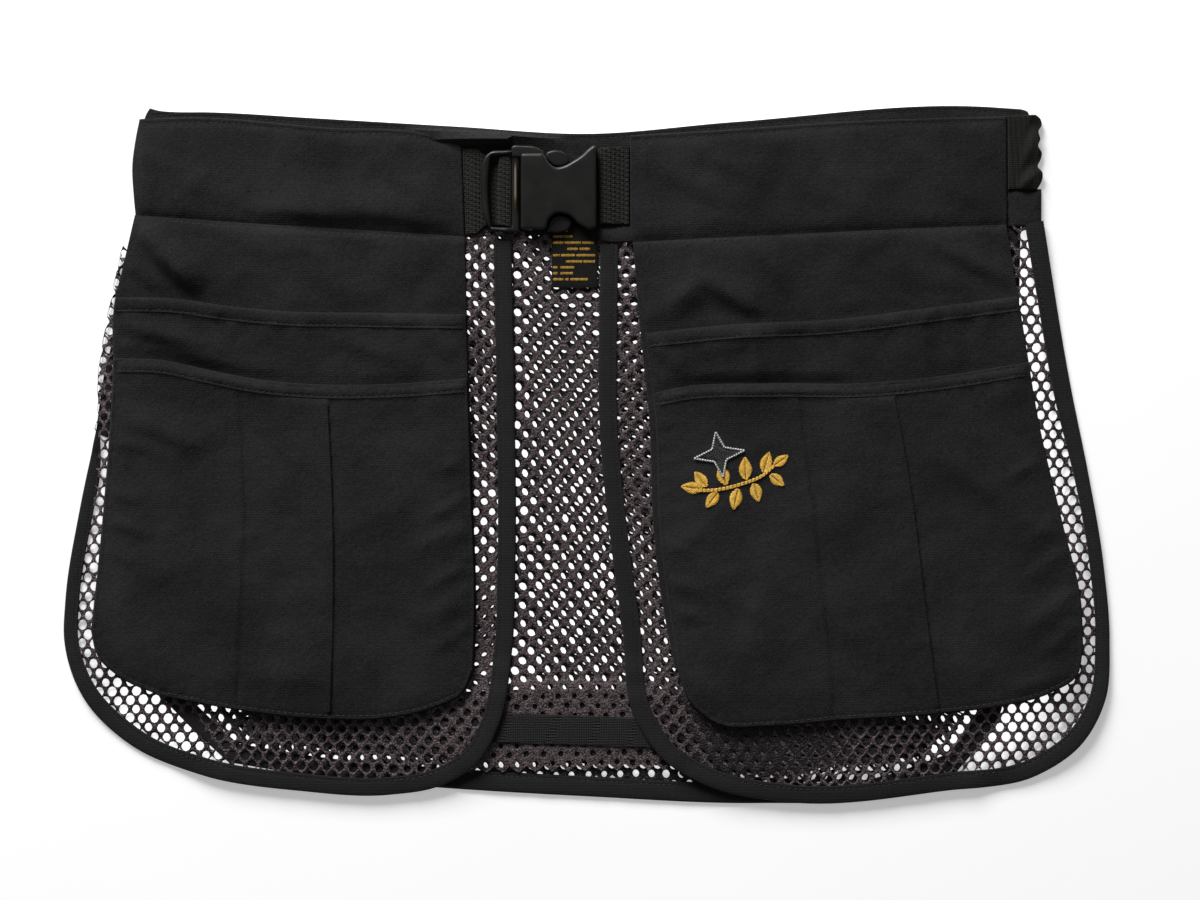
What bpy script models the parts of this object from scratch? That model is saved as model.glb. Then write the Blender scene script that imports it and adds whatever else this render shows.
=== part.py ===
"""Waist-length shooting vest of net and cotton cloth, laid flat with its buckle fastened.

All sizes are in millimetres. X runs across the vest, Y from the hem up to the waistband, and Z up
from the surface that the vest lies on. Left and right are as seen in the picture.
"""
import bpy
import numpy as np
from mathutils import Vector
from mathutils.geometry import delaunay_2d_cdt

MM = 0.001

# Thicknesses and clearances
SEAM = 0.3
NET = 1.0
CLOTH = 1.0
TAPE = 0.8
WAISTBAND = 2.0
BINDING = 2.2
WEBBING = 1.5
HEM_EXTRA = 0.9
WAIST_GAP = 0.45
PLEAT_RISE = 1.6
PLEAT_EDGE = 0.8

# Heights at which the layers lie
POUCH_LOW = NET + SEAM
POUCH_OVER_STRIP = POUCH_LOW + CLOTH + SEAM
FRONT_OVER_BACK = POUCH_LOW + NET + 0.4
FRONT_OVER_STRIP = POUCH_OVER_STRIP + NET + 0.4
FRONT_OVER_TAPE = FRONT_OVER_STRIP + TAPE + SEAM
POCKET_FLOOR = 4.0
YOKE_LOW = POCKET_FLOOR + NET + SEAM
UPPER_LOW = YOKE_LOW + CLOTH + SEAM
LOWER_LOW = UPPER_LOW + CLOTH + SEAM
BAND_LOW = WAISTBAND + SEAM
BAND_HIGH = BAND_LOW + 2.3

# Widths of the sewn edges
BACK_BINDING = 10.5
OUTER_BINDING = 7.2
HEM_BINDING = 9.4
INNER_BINDING = 9.6
WELT_HEM = 8.0

# Lattice spacings of the solids
COARSE = 24.0
MEDIUM = 15.0
FINE = 11.0

COLOURS = {
    "net": (0.012, 0.010, 0.010),
    "cloth": (0.018, 0.018, 0.018),
    "binding": (0.016, 0.017, 0.018),
    "webbing": (0.020, 0.020, 0.017),
    "label": (0.020, 0.018, 0.014),
    "buckle": (0.012, 0.012, 0.012),
}
ROUGHNESS = {
    "net": 0.55,
    "cloth": 0.9,
    "binding": 0.8,
    "webbing": 0.7,
    "label": 0.6,
    "buckle": 0.35,
}

# Outline edges. Each row is a place (x, y) that a smooth edge passes through.
BACK_EDGES = {
    "right": [(237.0, 120.5), (229.5, 0.0), (222.0, -124.0)],
    "right_corner": [(222.0, -124.0), (219.4, -136.5), (208.0, -154.0), (195.8, -168.3)],
    "hem": [(195.8, -168.3), (155.6, -181.5), (92.0, -184.6), (0.0, -181.0), (-80.0, -176.2),
            (-140.0, -171.0), (-189.5, -163.0)],
    "left_corner": [(-189.5, -163.0), (-208.0, -146.0), (-226.0, -127.5)],
    "left": [(-226.0, -127.5), (-229.0, 0.0), (-233.0, 122.0)],
    "top": [(-233.0, 122.0), (0.0, 114.9), (237.0, 120.5)],
}
POUCH_EDGES = {
    "top": [(219.0, 119.8), (0.0, 113.8), (-218.5, 120.8)],
    "left": [(-218.5, 120.8), (-216.5, 0.0), (-213.0, -122.0)],
    "left_corner": [(-213.0, -122.0), (-178.5, -150.5)],
    "bottom": [(-178.5, -150.5), (-120.0, -158.8), (-46.0, -162.8), (28.0, -164.8),
               (100.0, -167.3), (176.5, -160.5)],
    "right_corner": [(176.5, -160.5), (190.5, -146.0), (208.0, -124.0)],
    "right": [(208.0, -124.0), (216.5, 0.0), (219.0, 119.8)],
}
STRIP_EDGES = {
    "top": [(188.0, -145.0), (100.0, -128.0), (28.0, -124.8), (-46.0, -124.8), (-120.0, -130.0),
            (-188.0, -140.0)],
    "left": [(-188.0, -140.0), (-178.0, -150.0)],
    "bottom": [(-178.0, -150.0), (-120.0, -158.3), (-46.0, -162.3), (28.0, -164.3),
               (100.0, -166.8), (176.0, -160.0)],
    "right": [(176.0, -160.0), (188.0, -145.0)],
}
BACK_WAISTBAND_EDGES = {
    "top": [(235.1, 182.6), (211.2, 184.2), (78.7, 176.2), (-0.8, 169.9), (-67.0, 173.6),
            (-146.5, 178.3), (-199.5, 181.5), (-235.0, 182.1)],
    "left": [(-235.0, 182.1), (-235.0, 123.2)],
    "bottom": [(-235.0, 123.2), (0.3, 115.3), (240.9, 122.2)],
    "end": [(240.9, 122.2), (240.9, 138.6)],
    "step": [(240.9, 138.6), (235.1, 139.7)],
    "right": [(235.1, 139.7), (235.1, 182.6)],
}
LEFT_WAISTBAND_EDGES = {
    "top": [(-66.0, 163.5), (-77.1, 167.7), (-139.1, 173.0), (-210.7, 178.3), (-240.2, 176.5)],
    "fold": [(-240.2, 176.5), (-241.0, 150.0), (-240.6, 126.6)],
    "bottom": [(-240.6, 126.6), (-192.1, 122.2), (-123.8, 117.9), (-64.4, 114.7)],
    "end": [(-64.4, 114.7), (-66.0, 163.5)],
}
RIGHT_WAISTBAND_EDGES = {
    "top": [(219.7, 178.9), (130.1, 175.7), (77.6, 172.0), (23.1, 168.8)],
    "left": [(23.1, 168.8), (23.4, 112.4)],
    "bottom": [(23.4, 112.4), (130.1, 117.4), (222.3, 121.1)],
    "right": [(222.3, 121.1), (219.7, 178.9)],
}
SIDE_WEBBING_EDGES = {
    "top": [(237.6, 179.4), (222.8, 178.8)],
    "left": [(222.8, 178.8), (223.4, 140.4)],
    "bottom": [(223.4, 140.4), (238.4, 140.4)],
    "fold": [(238.4, 140.4), (240.6, 148.0), (238.9, 156.0), (240.8, 163.0), (239.2, 171.0),
             (240.2, 176.5), (237.6, 179.4)],
}
LEFT_FRONT_BOUND = [(-259.4, 13.0), (-268.4, -29.4), (-275.9, -77.1), (-276.4, -98.3),
                    (-265.3, -130.1), (-241.9, -153.4), (-202.2, -169.9), (-151.8, -177.8),
                    (-104.1, -179.9), (-77.6, -175.2), (-57.5, -163.0), (-45.8, -141.8),
                    (-39.5, -106.3), (-37.4, -55.9), (-37.9, 28.9), (-39.5, 113.0)]
LEFT_FRONT_FOLD = [(-240.6, 125.6), (-245.5, 100.0), (-252.5, 76.6), (-258.4, 40.0),
                   (-259.8, 14.6)]
RIGHT_FRONT_BOUND = [(7.2, 111.0), (7.7, 2.4), (13.0, -48.0), (19.2, -94.1), (24.6, -136.5),
                     (31.0, -148.7), (40.5, -160.9), (63.3, -174.6), (105.2, -183.6),
                     (189.5, -177.8), (238.2, -169.9), (261.0, -154.0), (274.3, -130.1),
                     (276.9, -98.3), (273.7, -58.6), (265.8, -10.9), (256.3, 36.8), (246.7, 92.5),
                     (241.9, 121.5)]
LEFT_YOKE_EDGES = {
    "top": [(-64.2, 114.2), (-107.9, 117.1), (-170.4, 120.8), (-238.6, 125.6)],
    "left": [(-238.6, 125.6), (-248.3, 81.9), (-250.2, 41.6), (-256.3, -42.1), (-261.6, -93.0)],
    "corner": [(-261.6, -93.0), (-258.4, -106.0), (-245.1, -118.5), (-225.0, -127.5)],
    "bottom": [(-225.0, -127.5), (-185.8, -134.9), (-142.3, -139.7), (-108.4, -139.7),
               (-81.9, -134.4), (-65.0, -126.0), (-59.1, -113.2)],
    "right": [(-59.1, -113.2), (-58.2, -81.9), (-60.2, -15.6), (-62.8, 66.0), (-64.2, 114.2)],
}
RIGHT_YOKE_EDGES = {
    "top": [(221.8, 120.6), (137.0, 116.9), (60.2, 113.2), (24.6, 111.4)],
    "left": [(24.6, 111.4), (28.9, 66.0), (35.8, 18.3), (38.4, -44.0), (43.2, -82.0),
             (48.5, -115.0)],
    "bottom": [(48.5, -115.0), (54.3, -130.8), (68.6, -142.4), (98.0, -143.6), (132.8, -140.7),
               (186.8, -137.0), (217.0, -133.2), (245.0, -126.0), (259.0, -117.0),
               (262.4, -102.0)],
    "right": [(262.4, -102.0), (261.1, -76.4), (251.8, -37.4), (239.6, 14.0), (231.0, 65.0),
              (221.8, 120.6)],
}
WELTS = {
    "left_upper": [(-247.4, 83.5), (-218.1, 82.9), (-191.1, 79.2), (-160.0, 76.2), (-120.0, 75.3),
                   (-63.4, 74.5)],
    "left_lower": [(-249.9, 51.7), (-222.3, 50.6), (-202.7, 46.4), (-172.5, 40.5),
                   (-139.1, 37.8), (-94.1, 38.6), (-62.3, 41.1)],
    "right_upper": [(29.5, 64.4), (77.6, 69.2), (130.1, 71.8), (183.1, 78.2), (226.9, 83.8)],
    "right_lower": [(34.0, 32.9), (49.6, 36.4), (95.1, 38.4), (147.6, 38.6), (183.1, 41.8),
                    (232.8, 49.6)],
}
# Each lower pocket has one box pleat, whose middle stands above both sides.
PLEATS = {
    "left": ([(-184.2, 37.0), (-180.5, -25.2), (-183.6, -94.1), (-184.7, -130.0)],
             [(-135.9, 33.0), (-133.3, -24.1), (-132.8, -82.4), (-134.4, -135.0)]),
    "right": ([(111.0, 33.0), (119.0, -25.7), (122.7, -62.8), (127.5, -99.9), (129.6, -136.0)],
              [(161.9, 34.0), (170.9, -15.6), (179.4, -82.9), (185.8, -132.0)]),
}

# Folds of the cloth: start x, start y, end x, end y, height, half width
LEFT_YOKE_FOLDS = [
    (-231.0, 119.0, -205.0, 88.0, 2.2, 6.0),
    (-150.0, 112.0, -118.0, 88.0, 0.9, 9.0),
]
RIGHT_YOKE_FOLDS = [
    (48.0, 78.0, 63.0, 93.0, 1.8, 6.0),
    (63.0, 93.0, 92.0, 78.0, 1.5, 6.0),
    (92.0, 110.0, 106.0, 86.0, 1.2, 7.0),
    (185.0, 109.0, 224.0, 91.0, 1.6, 7.0),
]
LEFT_POCKET_FOLDS = [
    (-248.0, 22.0, -206.0, 6.0, 2.4, 8.0),
    (-250.0, -30.0, -228.0, -44.0, 1.2, 6.0),
    (-246.0, -68.0, -232.0, -108.0, 2.0, 8.0),
    (-64.0, -40.0, -92.0, -54.0, 1.4, 6.0),
    (-62.0, -68.0, -96.0, -88.0, 1.8, 7.0),
    (-62.0, -92.0, -96.0, -112.0, 1.6, 7.0),
    (-172.0, -30.0, -146.0, 6.0, 1.2, 12.0),
]
RIGHT_POCKET_FOLDS = [
    (44.0, -62.0, 70.0, -70.0, 1.2, 6.0),
    (96.0, -62.0, 84.0, -112.0, 1.6, 12.0),
    (190.0, -4.0, 224.0, -30.0, 2.0, 9.0),
    (252.0, -56.0, 228.0, -72.0, 1.4, 7.0),
    (258.0, -84.0, 230.0, -106.0, 1.8, 8.0),
    (130.0, 12.0, 160.0, -24.0, 1.2, 12.0),
]
MOUTH_LIFT = 2.4
MOUTH_DEPTH = 26.0

# Buckle
BUCKLE_LOW = BAND_LOW
MALE_HIGH = 8.6
FEMALE_HIGH = 11.6
BUCKLE_CHAMFER = 1.4
MALE_X = (-55.4, -35.0)
FEMALE_X = (-34.6, 5.6)
BUCKLE_Y = (117.0, 162.4)
WEB_AT_BUCKLE = 4.2


def smooth(value):
    """Ease from 0 to 1 as value goes from 0 to 1."""
    value = np.clip(value, 0.0, 1.0)
    return value * value * (3.0 - 2.0 * value)


def curve(places, step):
    """Points about one step apart on a smooth line through the places."""
    places = np.array(places, float)
    spans = np.diff(places, axis=0)
    lengths = np.linalg.norm(spans, axis=1)
    slopes = spans / lengths[:, None]
    tangents = np.vstack([slopes[:1], slopes])
    for index in range(1, len(places) - 1):
        before, after = lengths[index - 1], lengths[index]
        blend = slopes[index] * before + slopes[index - 1] * after
        tangents[index] = blend / (before + after)
    points = []
    for index, length in enumerate(lengths):
        count = max(1, int(round(length / step)))
        t = (np.arange(count) / count)[:, None]
        start, end = places[index], places[index + 1]
        leave, arrive = tangents[index] * length, tangents[index + 1] * length
        points.append((2 * t**3 - 3 * t**2 + 1) * start + (t**3 - 2 * t**2 + t) * leave
                      + (3 * t**2 - 2 * t**3) * end + (t**3 - t**2) * arrive)
    return np.vstack(points + [places[-1:]])


def joined(edges):
    """One closed outline, counter-clockwise, from edges that follow each other."""
    points = np.vstack([edge[:-1] for edge in edges])
    x, y = points[:, 0], points[:, 1]
    area = np.sum(x * np.roll(y, -1) - np.roll(x, -1) * y)
    return points if area > 0 else points[::-1]


def inset(outline, distance):
    """The closed outline moved inward by distance, or outward where it is negative."""
    ahead = np.roll(outline, -1, axis=0) - outline
    ahead /= np.linalg.norm(ahead, axis=1)[:, None]
    normal = np.stack([-ahead[:, 1], ahead[:, 0]], axis=1)
    before = np.roll(normal, 1, axis=0)
    share = 1.0 + np.sum(normal * before, axis=1)
    return outline + (normal + before) / np.maximum(share, 0.5)[:, None] * distance


def beside(path, distance):
    """An open path moved to its left by distance, which may differ from point to point."""
    ahead = np.gradient(path, axis=0)
    ahead /= np.linalg.norm(ahead, axis=1)[:, None]
    normal = np.stack([-ahead[:, 1], ahead[:, 0]], axis=1)
    return path + normal * np.reshape(distance, (-1, 1))


def gap_to(points, path, is_closed=False):
    """Distance from each point to the path, and how far along the path the nearest place is."""
    ends = np.roll(path, -1, axis=0) if is_closed else path[1:]
    starts = path if is_closed else path[:-1]
    span = ends - starts
    size = np.sum(span * span, axis=1)
    offset = points[:, None, :] - starts[None, :, :]
    share = np.clip(np.sum(offset * span, axis=2) / size, 0.0, 1.0)
    nearest = starts + span * share[:, :, None]
    distance = np.linalg.norm(points[:, None, :] - nearest, axis=2)
    best = np.argmin(distance, axis=1)
    row = np.arange(len(points))
    along = (best + share[row, best]) / len(starts)
    return distance[row, best], along


def depth_in(points, outline):
    """How far each point lies inside the closed outline. Outside, it is negative."""
    distance, _ = gap_to(points, outline, True)
    x, y = points[:, 0:1], points[:, 1:2]
    x0, y0 = outline[:, 0], outline[:, 1]
    x1, y1 = np.roll(x0, -1), np.roll(y0, -1)
    straddles = (y0 > y) != (y1 > y)
    rise = np.where(y1 == y0, 1.0, y1 - y0)
    crossings = straddles & (x < x0 + (y - y0) / rise * (x1 - x0))
    is_inside = np.sum(crossings, axis=1) % 2 == 1
    return np.where(is_inside, distance, -distance)


def right_of(points, path):
    """Signed distance to the right of a path that runs down the page."""
    distance, _ = gap_to(points, path)
    order = np.argsort(path[:, 1])
    side = points[:, 0] - np.interp(points[:, 1], path[order, 1], path[order, 0])
    return np.where(side >= 0.0, distance, -distance)


def above(points, path):
    """Distance above a path that runs across the page. Below, it is negative."""
    distance, _ = gap_to(points, path)
    side = points[:, 1] - np.interp(points[:, 0], path[:, 0], path[:, 1])
    return np.where(side >= 0.0, distance, -distance)


def folds(points, table):
    """Height of the soft folds in a table. Each is highest in its middle."""
    total = np.zeros(len(points))
    for start_x, start_y, end_x, end_y, height, half_width in table:
        line = np.array([(start_x, start_y), (end_x, end_y)])
        distance, along = gap_to(points, line)
        swell = np.sin(np.pi * np.clip(0.15 + 0.7 * along, 0.0, 1.0))
        total += height * swell * smooth(1.0 - distance / (2.0 * half_width))
    return total


def outline_of(edges, step):
    """The closed outline of a table of edges."""
    return joined([curve(places, step) for places in edges.values()])


back_outline = outline_of(BACK_EDGES, 12.0)
strip_outline = outline_of(STRIP_EDGES, 16.0)
TAPE_PLACES = [(-62.0, -144.0), (-10.0, -145.6), (40.0, -147.5)]
TAPE_HALF = 7.9
tape_centre = curve(TAPE_PLACES, 14.0)
tape_outline = np.vstack([tape_centre - (0.0, TAPE_HALF), (tape_centre + (0.0, TAPE_HALF))[::-1]])


def near(points, outline, start, end):
    """1 up to start millimetres outside an outline, easing to 0 at end millimetres."""
    outside = -depth_in(points, outline)
    return 1.0 - smooth((outside - start) / (end - start))


def front_rest(points):
    """Height at which a front lies on the back, or on the surface beyond the back's edge."""
    level = FRONT_OVER_BACK
    level = level + (FRONT_OVER_STRIP - FRONT_OVER_BACK) * near(points, strip_outline, 9.0, 20.0)
    level = level + (FRONT_OVER_TAPE - FRONT_OVER_STRIP) * near(points, tape_outline, 9.0, 18.0)
    return level * near(points, back_outline, 10.0, 24.0)


def flat(height):
    """A surface at one height."""
    return lambda points: np.full(len(points), height)


def add_solid(name, vertices, faces, finish):
    """Make the named object, with its own material, from points in millimetres."""
    mesh = bpy.data.meshes.new(name)
    mesh.from_pydata([tuple(float(value) * MM for value in place) for place in vertices], [],
                     faces)
    mesh.update()
    material = bpy.data.materials.new(name)
    material.use_nodes = True
    shader = material.node_tree.nodes["Principled BSDF"]
    shader.inputs["Base Color"].default_value = (*COLOURS[finish], 1.0)
    shader.inputs["Roughness"].default_value = ROUGHNESS[finish]
    material.diffuse_color = (*COLOURS[finish], 1.0)
    mesh.materials.append(material)
    solid = bpy.data.objects.new(name, mesh)
    bpy.context.scene.collection.objects.link(solid)
    return solid


def lattice(outline, spacing, lines):
    """Points of a triangular lattice inside an outline and clear of its edge and the lines."""
    low, high = outline.min(axis=0), outline.max(axis=0)
    row_height = spacing * 0.866
    rows = []
    for index in range(int((high[1] - low[1]) / row_height) + 1):
        shift = spacing * 0.5 * (index % 2)
        x = np.arange(low[0] + shift, high[0], spacing)
        rows.append(np.stack([x, np.full(len(x), low[1] + (index + 0.5) * row_height)], axis=1))
    points = np.vstack(rows)
    keep = depth_in(points, outline) > spacing * 0.45
    for line in lines:
        keep &= gap_to(points, line)[0] > spacing * 0.45
    return points[keep]


def add_sheet(name, outline, low, high, spacing, finish, lines=(), holes=()):
    """A closed sheet between the surfaces low and high, with creases along the lines."""
    hole_edges = [np.vstack([hole, hole[:1]]) for hole in holes]
    inner = lattice(outline, spacing, list(lines) + hole_edges)
    places = [Vector(place) for place in outline]
    edges = [(index, (index + 1) % len(outline)) for index in range(len(outline))]
    for line in list(lines) + hole_edges:
        first = len(places)
        places += [Vector(place) for place in line]
        edges += [(first + index, first + index + 1) for index in range(len(line) - 1)]
    places += [Vector(place) for place in inner]
    result = delaunay_2d_cdt(places, edges, [], 0, 0.01, False)
    flat_points = np.array([tuple(place) for place in result[0]])
    triangles = np.array(result[2])
    centres = flat_points[triangles].mean(axis=1)
    keep = depth_in(centres, outline) > 0.0
    for hole in holes:
        keep &= depth_in(centres, hole) < 0.0
    triangles = triangles[keep]
    corners = flat_points[triangles]
    first_side, second_side = corners[:, 1] - corners[:, 0], corners[:, 2] - corners[:, 0]
    turn = first_side[:, 0] * second_side[:, 1] - first_side[:, 1] * second_side[:, 0]
    triangles[turn < 0] = triangles[turn < 0][:, ::-1]
    used = np.unique(triangles)
    flat_points = flat_points[used]
    triangles = np.searchsorted(used, triangles)
    count = len(flat_points)
    bottom, top = low(flat_points), high(flat_points)
    vertices = np.vstack([np.column_stack([flat_points, bottom]),
                          np.column_stack([flat_points, top])])
    faces = [tuple(int(i) + count for i in triangle) for triangle in triangles]
    faces += [tuple(int(i) for i in triangle[::-1]) for triangle in triangles]
    directed = {(int(t[i]), int(t[(i + 1) % 3])) for t in triangles for i in range(3)}
    for start, end in sorted(directed):
        if (end, start) not in directed:
            faces.append((start, end, end + count, start + count))
    return add_solid(name, vertices, faces, finish)


def add_band(name, inner, outer, low, thickness, finish):
    """A tape with a slightly crowned top between two paths that run side by side."""
    middle = (inner + outer) * 0.5
    base_inner, base_outer, base_middle = low(inner), low(outer), low(middle)
    crown = 0.2
    rings = [
        np.column_stack([inner, base_inner]),
        np.column_stack([outer, base_outer]),
        np.column_stack([outer, base_outer + thickness - crown]),
        np.column_stack([middle, np.maximum(base_middle, (base_inner + base_outer) * 0.5)
                         + thickness]),
        np.column_stack([inner, base_inner + thickness - crown]),
    ]
    ahead, across = inner[1] - inner[0], outer[0] - inner[0]
    if ahead[0] * across[1] - ahead[1] * across[0] < 0:
        rings = rings[::-1]
    stations, sides = len(inner), len(rings)
    vertices = np.stack(rings, axis=1).reshape(-1, 3)
    faces = []
    for station in range(stations - 1):
        for side in range(sides):
            here = station * sides + side
            beside_it = station * sides + (side + 1) % sides
            faces.append((here, beside_it, beside_it + sides, here + sides))
    faces.append(tuple(range(sides))[::-1])
    faces.append(tuple((stations - 1) * sides + side for side in range(sides)))
    return add_solid(name, vertices, faces, finish)


def part_below(edge, height):
    """The stretch of a side edge, running down the page, that lies below a height."""
    points = edge if edge[0, 1] > edge[-1, 1] else edge[::-1]
    x = np.interp(-height, -points[:, 1], points[:, 0])
    kept = points[points[:, 1] < height - 2.0]
    return np.vstack([[(x, height)], kept])


def pocket_outline(yoke, welt, step, margin):
    """Outline of a pocket from its top edge, the welt, down round the yoke's lower edges."""
    left = part_below(curve(yoke["left"], step), welt[0, 1])
    right = part_below(curve(yoke["right"], step), welt[-1, 1])[::-1]
    lower = [curve(yoke["corner"], step)] if "corner" in yoke else []
    lower.append(curve(yoke["bottom"], step))
    top = np.vstack([left[:1], welt[1:-1], right[-1:]])[::-1]
    return inset(joined([left] + lower + [right, top]), margin)


def inside_runs(line, outline, margin):
    """The stretches of a line that lie inside an outline and clear of its edge."""
    line = np.array(line)
    is_kept = depth_in(line, outline) > margin
    runs, current = [], []
    for place, kept in zip(line, is_kept):
        if kept:
            current.append(place)
        if current and not kept:
            runs.append(np.array(current))
            current = []
    if current:
        runs.append(np.array(current))
    return [run for run in runs if len(run) > 1]


def ring(outline):
    """A closed outline as a line that ends where it starts."""
    return np.vstack([outline, outline[:1]])


def add_back():
    """The outer net with its bound edge, and what lies on it inside the vest."""
    names = ("right", "right_corner", "hem", "left_corner", "left")
    bound = np.vstack([curve(BACK_EDGES[name], 10.0)[:-1] for name in names]
                      + [BACK_EDGES["left"][-1:]])
    add_band("back_binding", beside(bound, -BACK_BINDING), bound, flat(0.0), BINDING, "binding")
    panel_edge = beside(bound, -BACK_BINDING - SEAM)
    seam = curve(BACK_WAISTBAND_EDGES["bottom"], 20.0) - (0.0, SEAM)
    is_between = (seam[:, 0] > panel_edge[-1, 0] + 1.0) & (seam[:, 0] < panel_edge[0, 0] - 1.0)
    panel = np.vstack([panel_edge, seam[is_between]])[::-1]
    add_sheet("back_panel", panel, flat(0.0), flat(NET), COARSE * 2, "net")
    add_sheet("pouch_strip", strip_outline, flat(POUCH_LOW), flat(POUCH_LOW + CLOTH), COARSE * 2,
              "cloth")
    pouch = outline_of(POUCH_EDGES, 16.0)
    creases = [run for outside in (1.0, 8.0)
               for run in inside_runs(ring(inset(strip_outline, -outside)), pouch, 1.0)]

    def pouch_low(points):
        rise = POUCH_OVER_STRIP - POUCH_LOW
        return POUCH_LOW + rise * near(points, strip_outline, 1.1, 7.9)

    add_sheet("pouch_net", pouch, pouch_low, lambda points: pouch_low(points) + NET, COARSE * 2,
              "net", creases)
    tape_low = POUCH_OVER_STRIP + NET + SEAM
    add_sheet("pouch_tape", tape_outline, flat(tape_low), flat(tape_low + TAPE), COARSE,
              "webbing")
    label = np.array([(-18.3, 88.2), (5.9, 88.2), (5.9, 114.4), (-18.3, 114.4)])
    label_low = POUCH_LOW + NET + SEAM
    add_sheet("care_label", label, flat(label_low), flat(label_low + TAPE), COARSE, "label")


def add_front_net(name, outline, yoke):
    """A front's net, level under the pocket cloth and falling to the surface at its edge."""
    creases = inside_runs(ring(inset(yoke, -1.0)), outline, 1.5)
    for outside in (10.0, 24.0):
        creases += inside_runs(ring(inset(back_outline, -outside)), inset(outline, 1.0), 1.5)
    creases = [crease for crease in creases if len(crease) > 2]

    def low(points):
        share = near(points, yoke, 1.1, 9.0)
        return front_rest(points) * (1.0 - share) + POCKET_FLOOR * share

    add_sheet(name, outline, low, lambda points: low(points) + NET, COARSE, "net", creases)


def binding_widths(path, outer_share, inner_share):
    """Binding widths along a path: narrow at the outer edge, wider at the hem and inner edge."""
    share = np.linspace(0.0, 1.0, len(path))
    to_hem = smooth((share - outer_share + 0.06) / 0.12)
    to_inner = smooth((share - inner_share + 0.06) / 0.12)
    return (OUTER_BINDING + (HEM_BINDING - OUTER_BINDING) * to_hem
            + (INNER_BINDING - HEM_BINDING) * to_inner)


def add_yoke(name, outline, fold_table, upper_welt):
    """The cloth behind the pockets. Its folds end at the upper pocket's top edge."""
    limit = upper_welt + (0.0, 2.0)

    def low(points):
        share = smooth(above(points, limit) / 9.0) * smooth(depth_in(points, outline) / 9.0)
        return YOKE_LOW + folds(points, fold_table) * share

    creases = inside_runs(limit, outline, 2.0)
    add_sheet(name, outline, low, lambda points: low(points) + CLOTH, MEDIUM, "cloth", creases)


def add_upper_pocket(name, outline, welt, lower_welt):
    """The upper pocket, whose top edge is turned over and gapes a little."""
    hem_line = welt - (0.0, WELT_HEM)
    limit = lower_welt + (0.0, 2.0)

    def low(points):
        from_edge = -above(points, welt)
        across = smooth(depth_in(points, outline) / 30.0 * 2.0)
        return UPPER_LOW + 1.0 * smooth(1.0 - from_edge / 14.0) * across

    def high(points):
        turned = HEM_EXTRA * smooth((above(points, hem_line) + PLEAT_EDGE) / PLEAT_EDGE)
        return low(points) + CLOTH + turned

    creases = []
    for line in (hem_line, hem_line - (0.0, PLEAT_EDGE), limit):
        creases += inside_runs(line, outline, 2.0)
    add_sheet(name, outline, low, high, MEDIUM, "cloth", creases)


def add_lower_pocket(name, outline, welt, pleats, fold_table):
    """The lower pocket: a turned top edge that gapes, a box pleat and the cloth's folds."""
    hem_line = welt - (0.0, WELT_HEM)
    first, second = (curve(line, 14.0) for line in pleats)
    span = welt[-1, 0] - welt[0, 0]

    def low(points):
        inside = smooth(depth_in(points, outline) / 12.0)
        down = -above(points, welt)
        along = (points[:, 0] - welt[0, 0]) / span
        gape = MOUTH_LIFT * np.sin(np.pi * np.clip(along, 0.0, 1.0)) ** 2
        gape = gape * smooth(1.0 - down / MOUTH_DEPTH)
        return LOWER_LOW + gape + folds(points, fold_table) * (0.35 + 0.65 * inside)

    def high(points):
        turned = HEM_EXTRA * smooth((above(points, hem_line) + PLEAT_EDGE) / PLEAT_EDGE)
        from_first, from_second = right_of(points, first), -right_of(points, second)
        pleat = smooth(from_first / PLEAT_EDGE) * smooth(from_second / PLEAT_EDGE)
        pleat = pleat * smooth(-above(points, hem_line) / PLEAT_EDGE)
        return low(points) + CLOTH + turned + PLEAT_RISE * pleat

    creases = []
    for line in (hem_line, hem_line - (0.0, PLEAT_EDGE)):
        creases += inside_runs(line, outline, 2.0)
    below_hem = hem_line - (0.0, 3.0)
    for line, shift in ((first, PLEAT_EDGE), (first, 0.0), (second, 0.0), (second, -PLEAT_EDGE)):
        moved = line + (shift, 0.0)
        moved = moved[above(moved, below_hem) < 0.0]
        creases += inside_runs(moved, outline, 2.0)
    add_sheet(name, outline, low, high, FINE, "cloth", creases)


def add_left_front():
    """The left front: net, bound edge and pocket cloth."""
    bound = curve(LEFT_FRONT_BOUND, 9.0)
    widths = binding_widths(bound, 0.22, 0.55)
    add_band("left_binding", beside(bound, widths), bound, front_rest, BINDING, "binding")
    inner = beside(bound, widths + SEAM)
    over_end = inner[:1] + (0.4, 1.1)
    seam = curve(LEFT_WAISTBAND_EDGES["bottom"], 16.0)[::-1] - (0.0, WAIST_GAP)
    net = np.vstack([over_end, inner, seam[:-1], curve(LEFT_FRONT_FOLD, 14.0)])
    yoke = outline_of(LEFT_YOKE_EDGES, 12.0)
    upper_welt, lower_welt = (curve(WELTS[key], 12.0) for key in ("left_upper", "left_lower"))
    add_front_net("left_net", net, yoke)
    add_yoke("left_yoke", yoke, LEFT_YOKE_FOLDS, upper_welt)
    add_upper_pocket("left_upper_pocket", pocket_outline(LEFT_YOKE_EDGES, upper_welt, 14.0, 0.5),
                     upper_welt, lower_welt)
    add_lower_pocket("left_lower_pocket", pocket_outline(LEFT_YOKE_EDGES, lower_welt, 11.0, 1.0),
                     lower_welt, PLEATS["left"], LEFT_POCKET_FOLDS)


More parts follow.
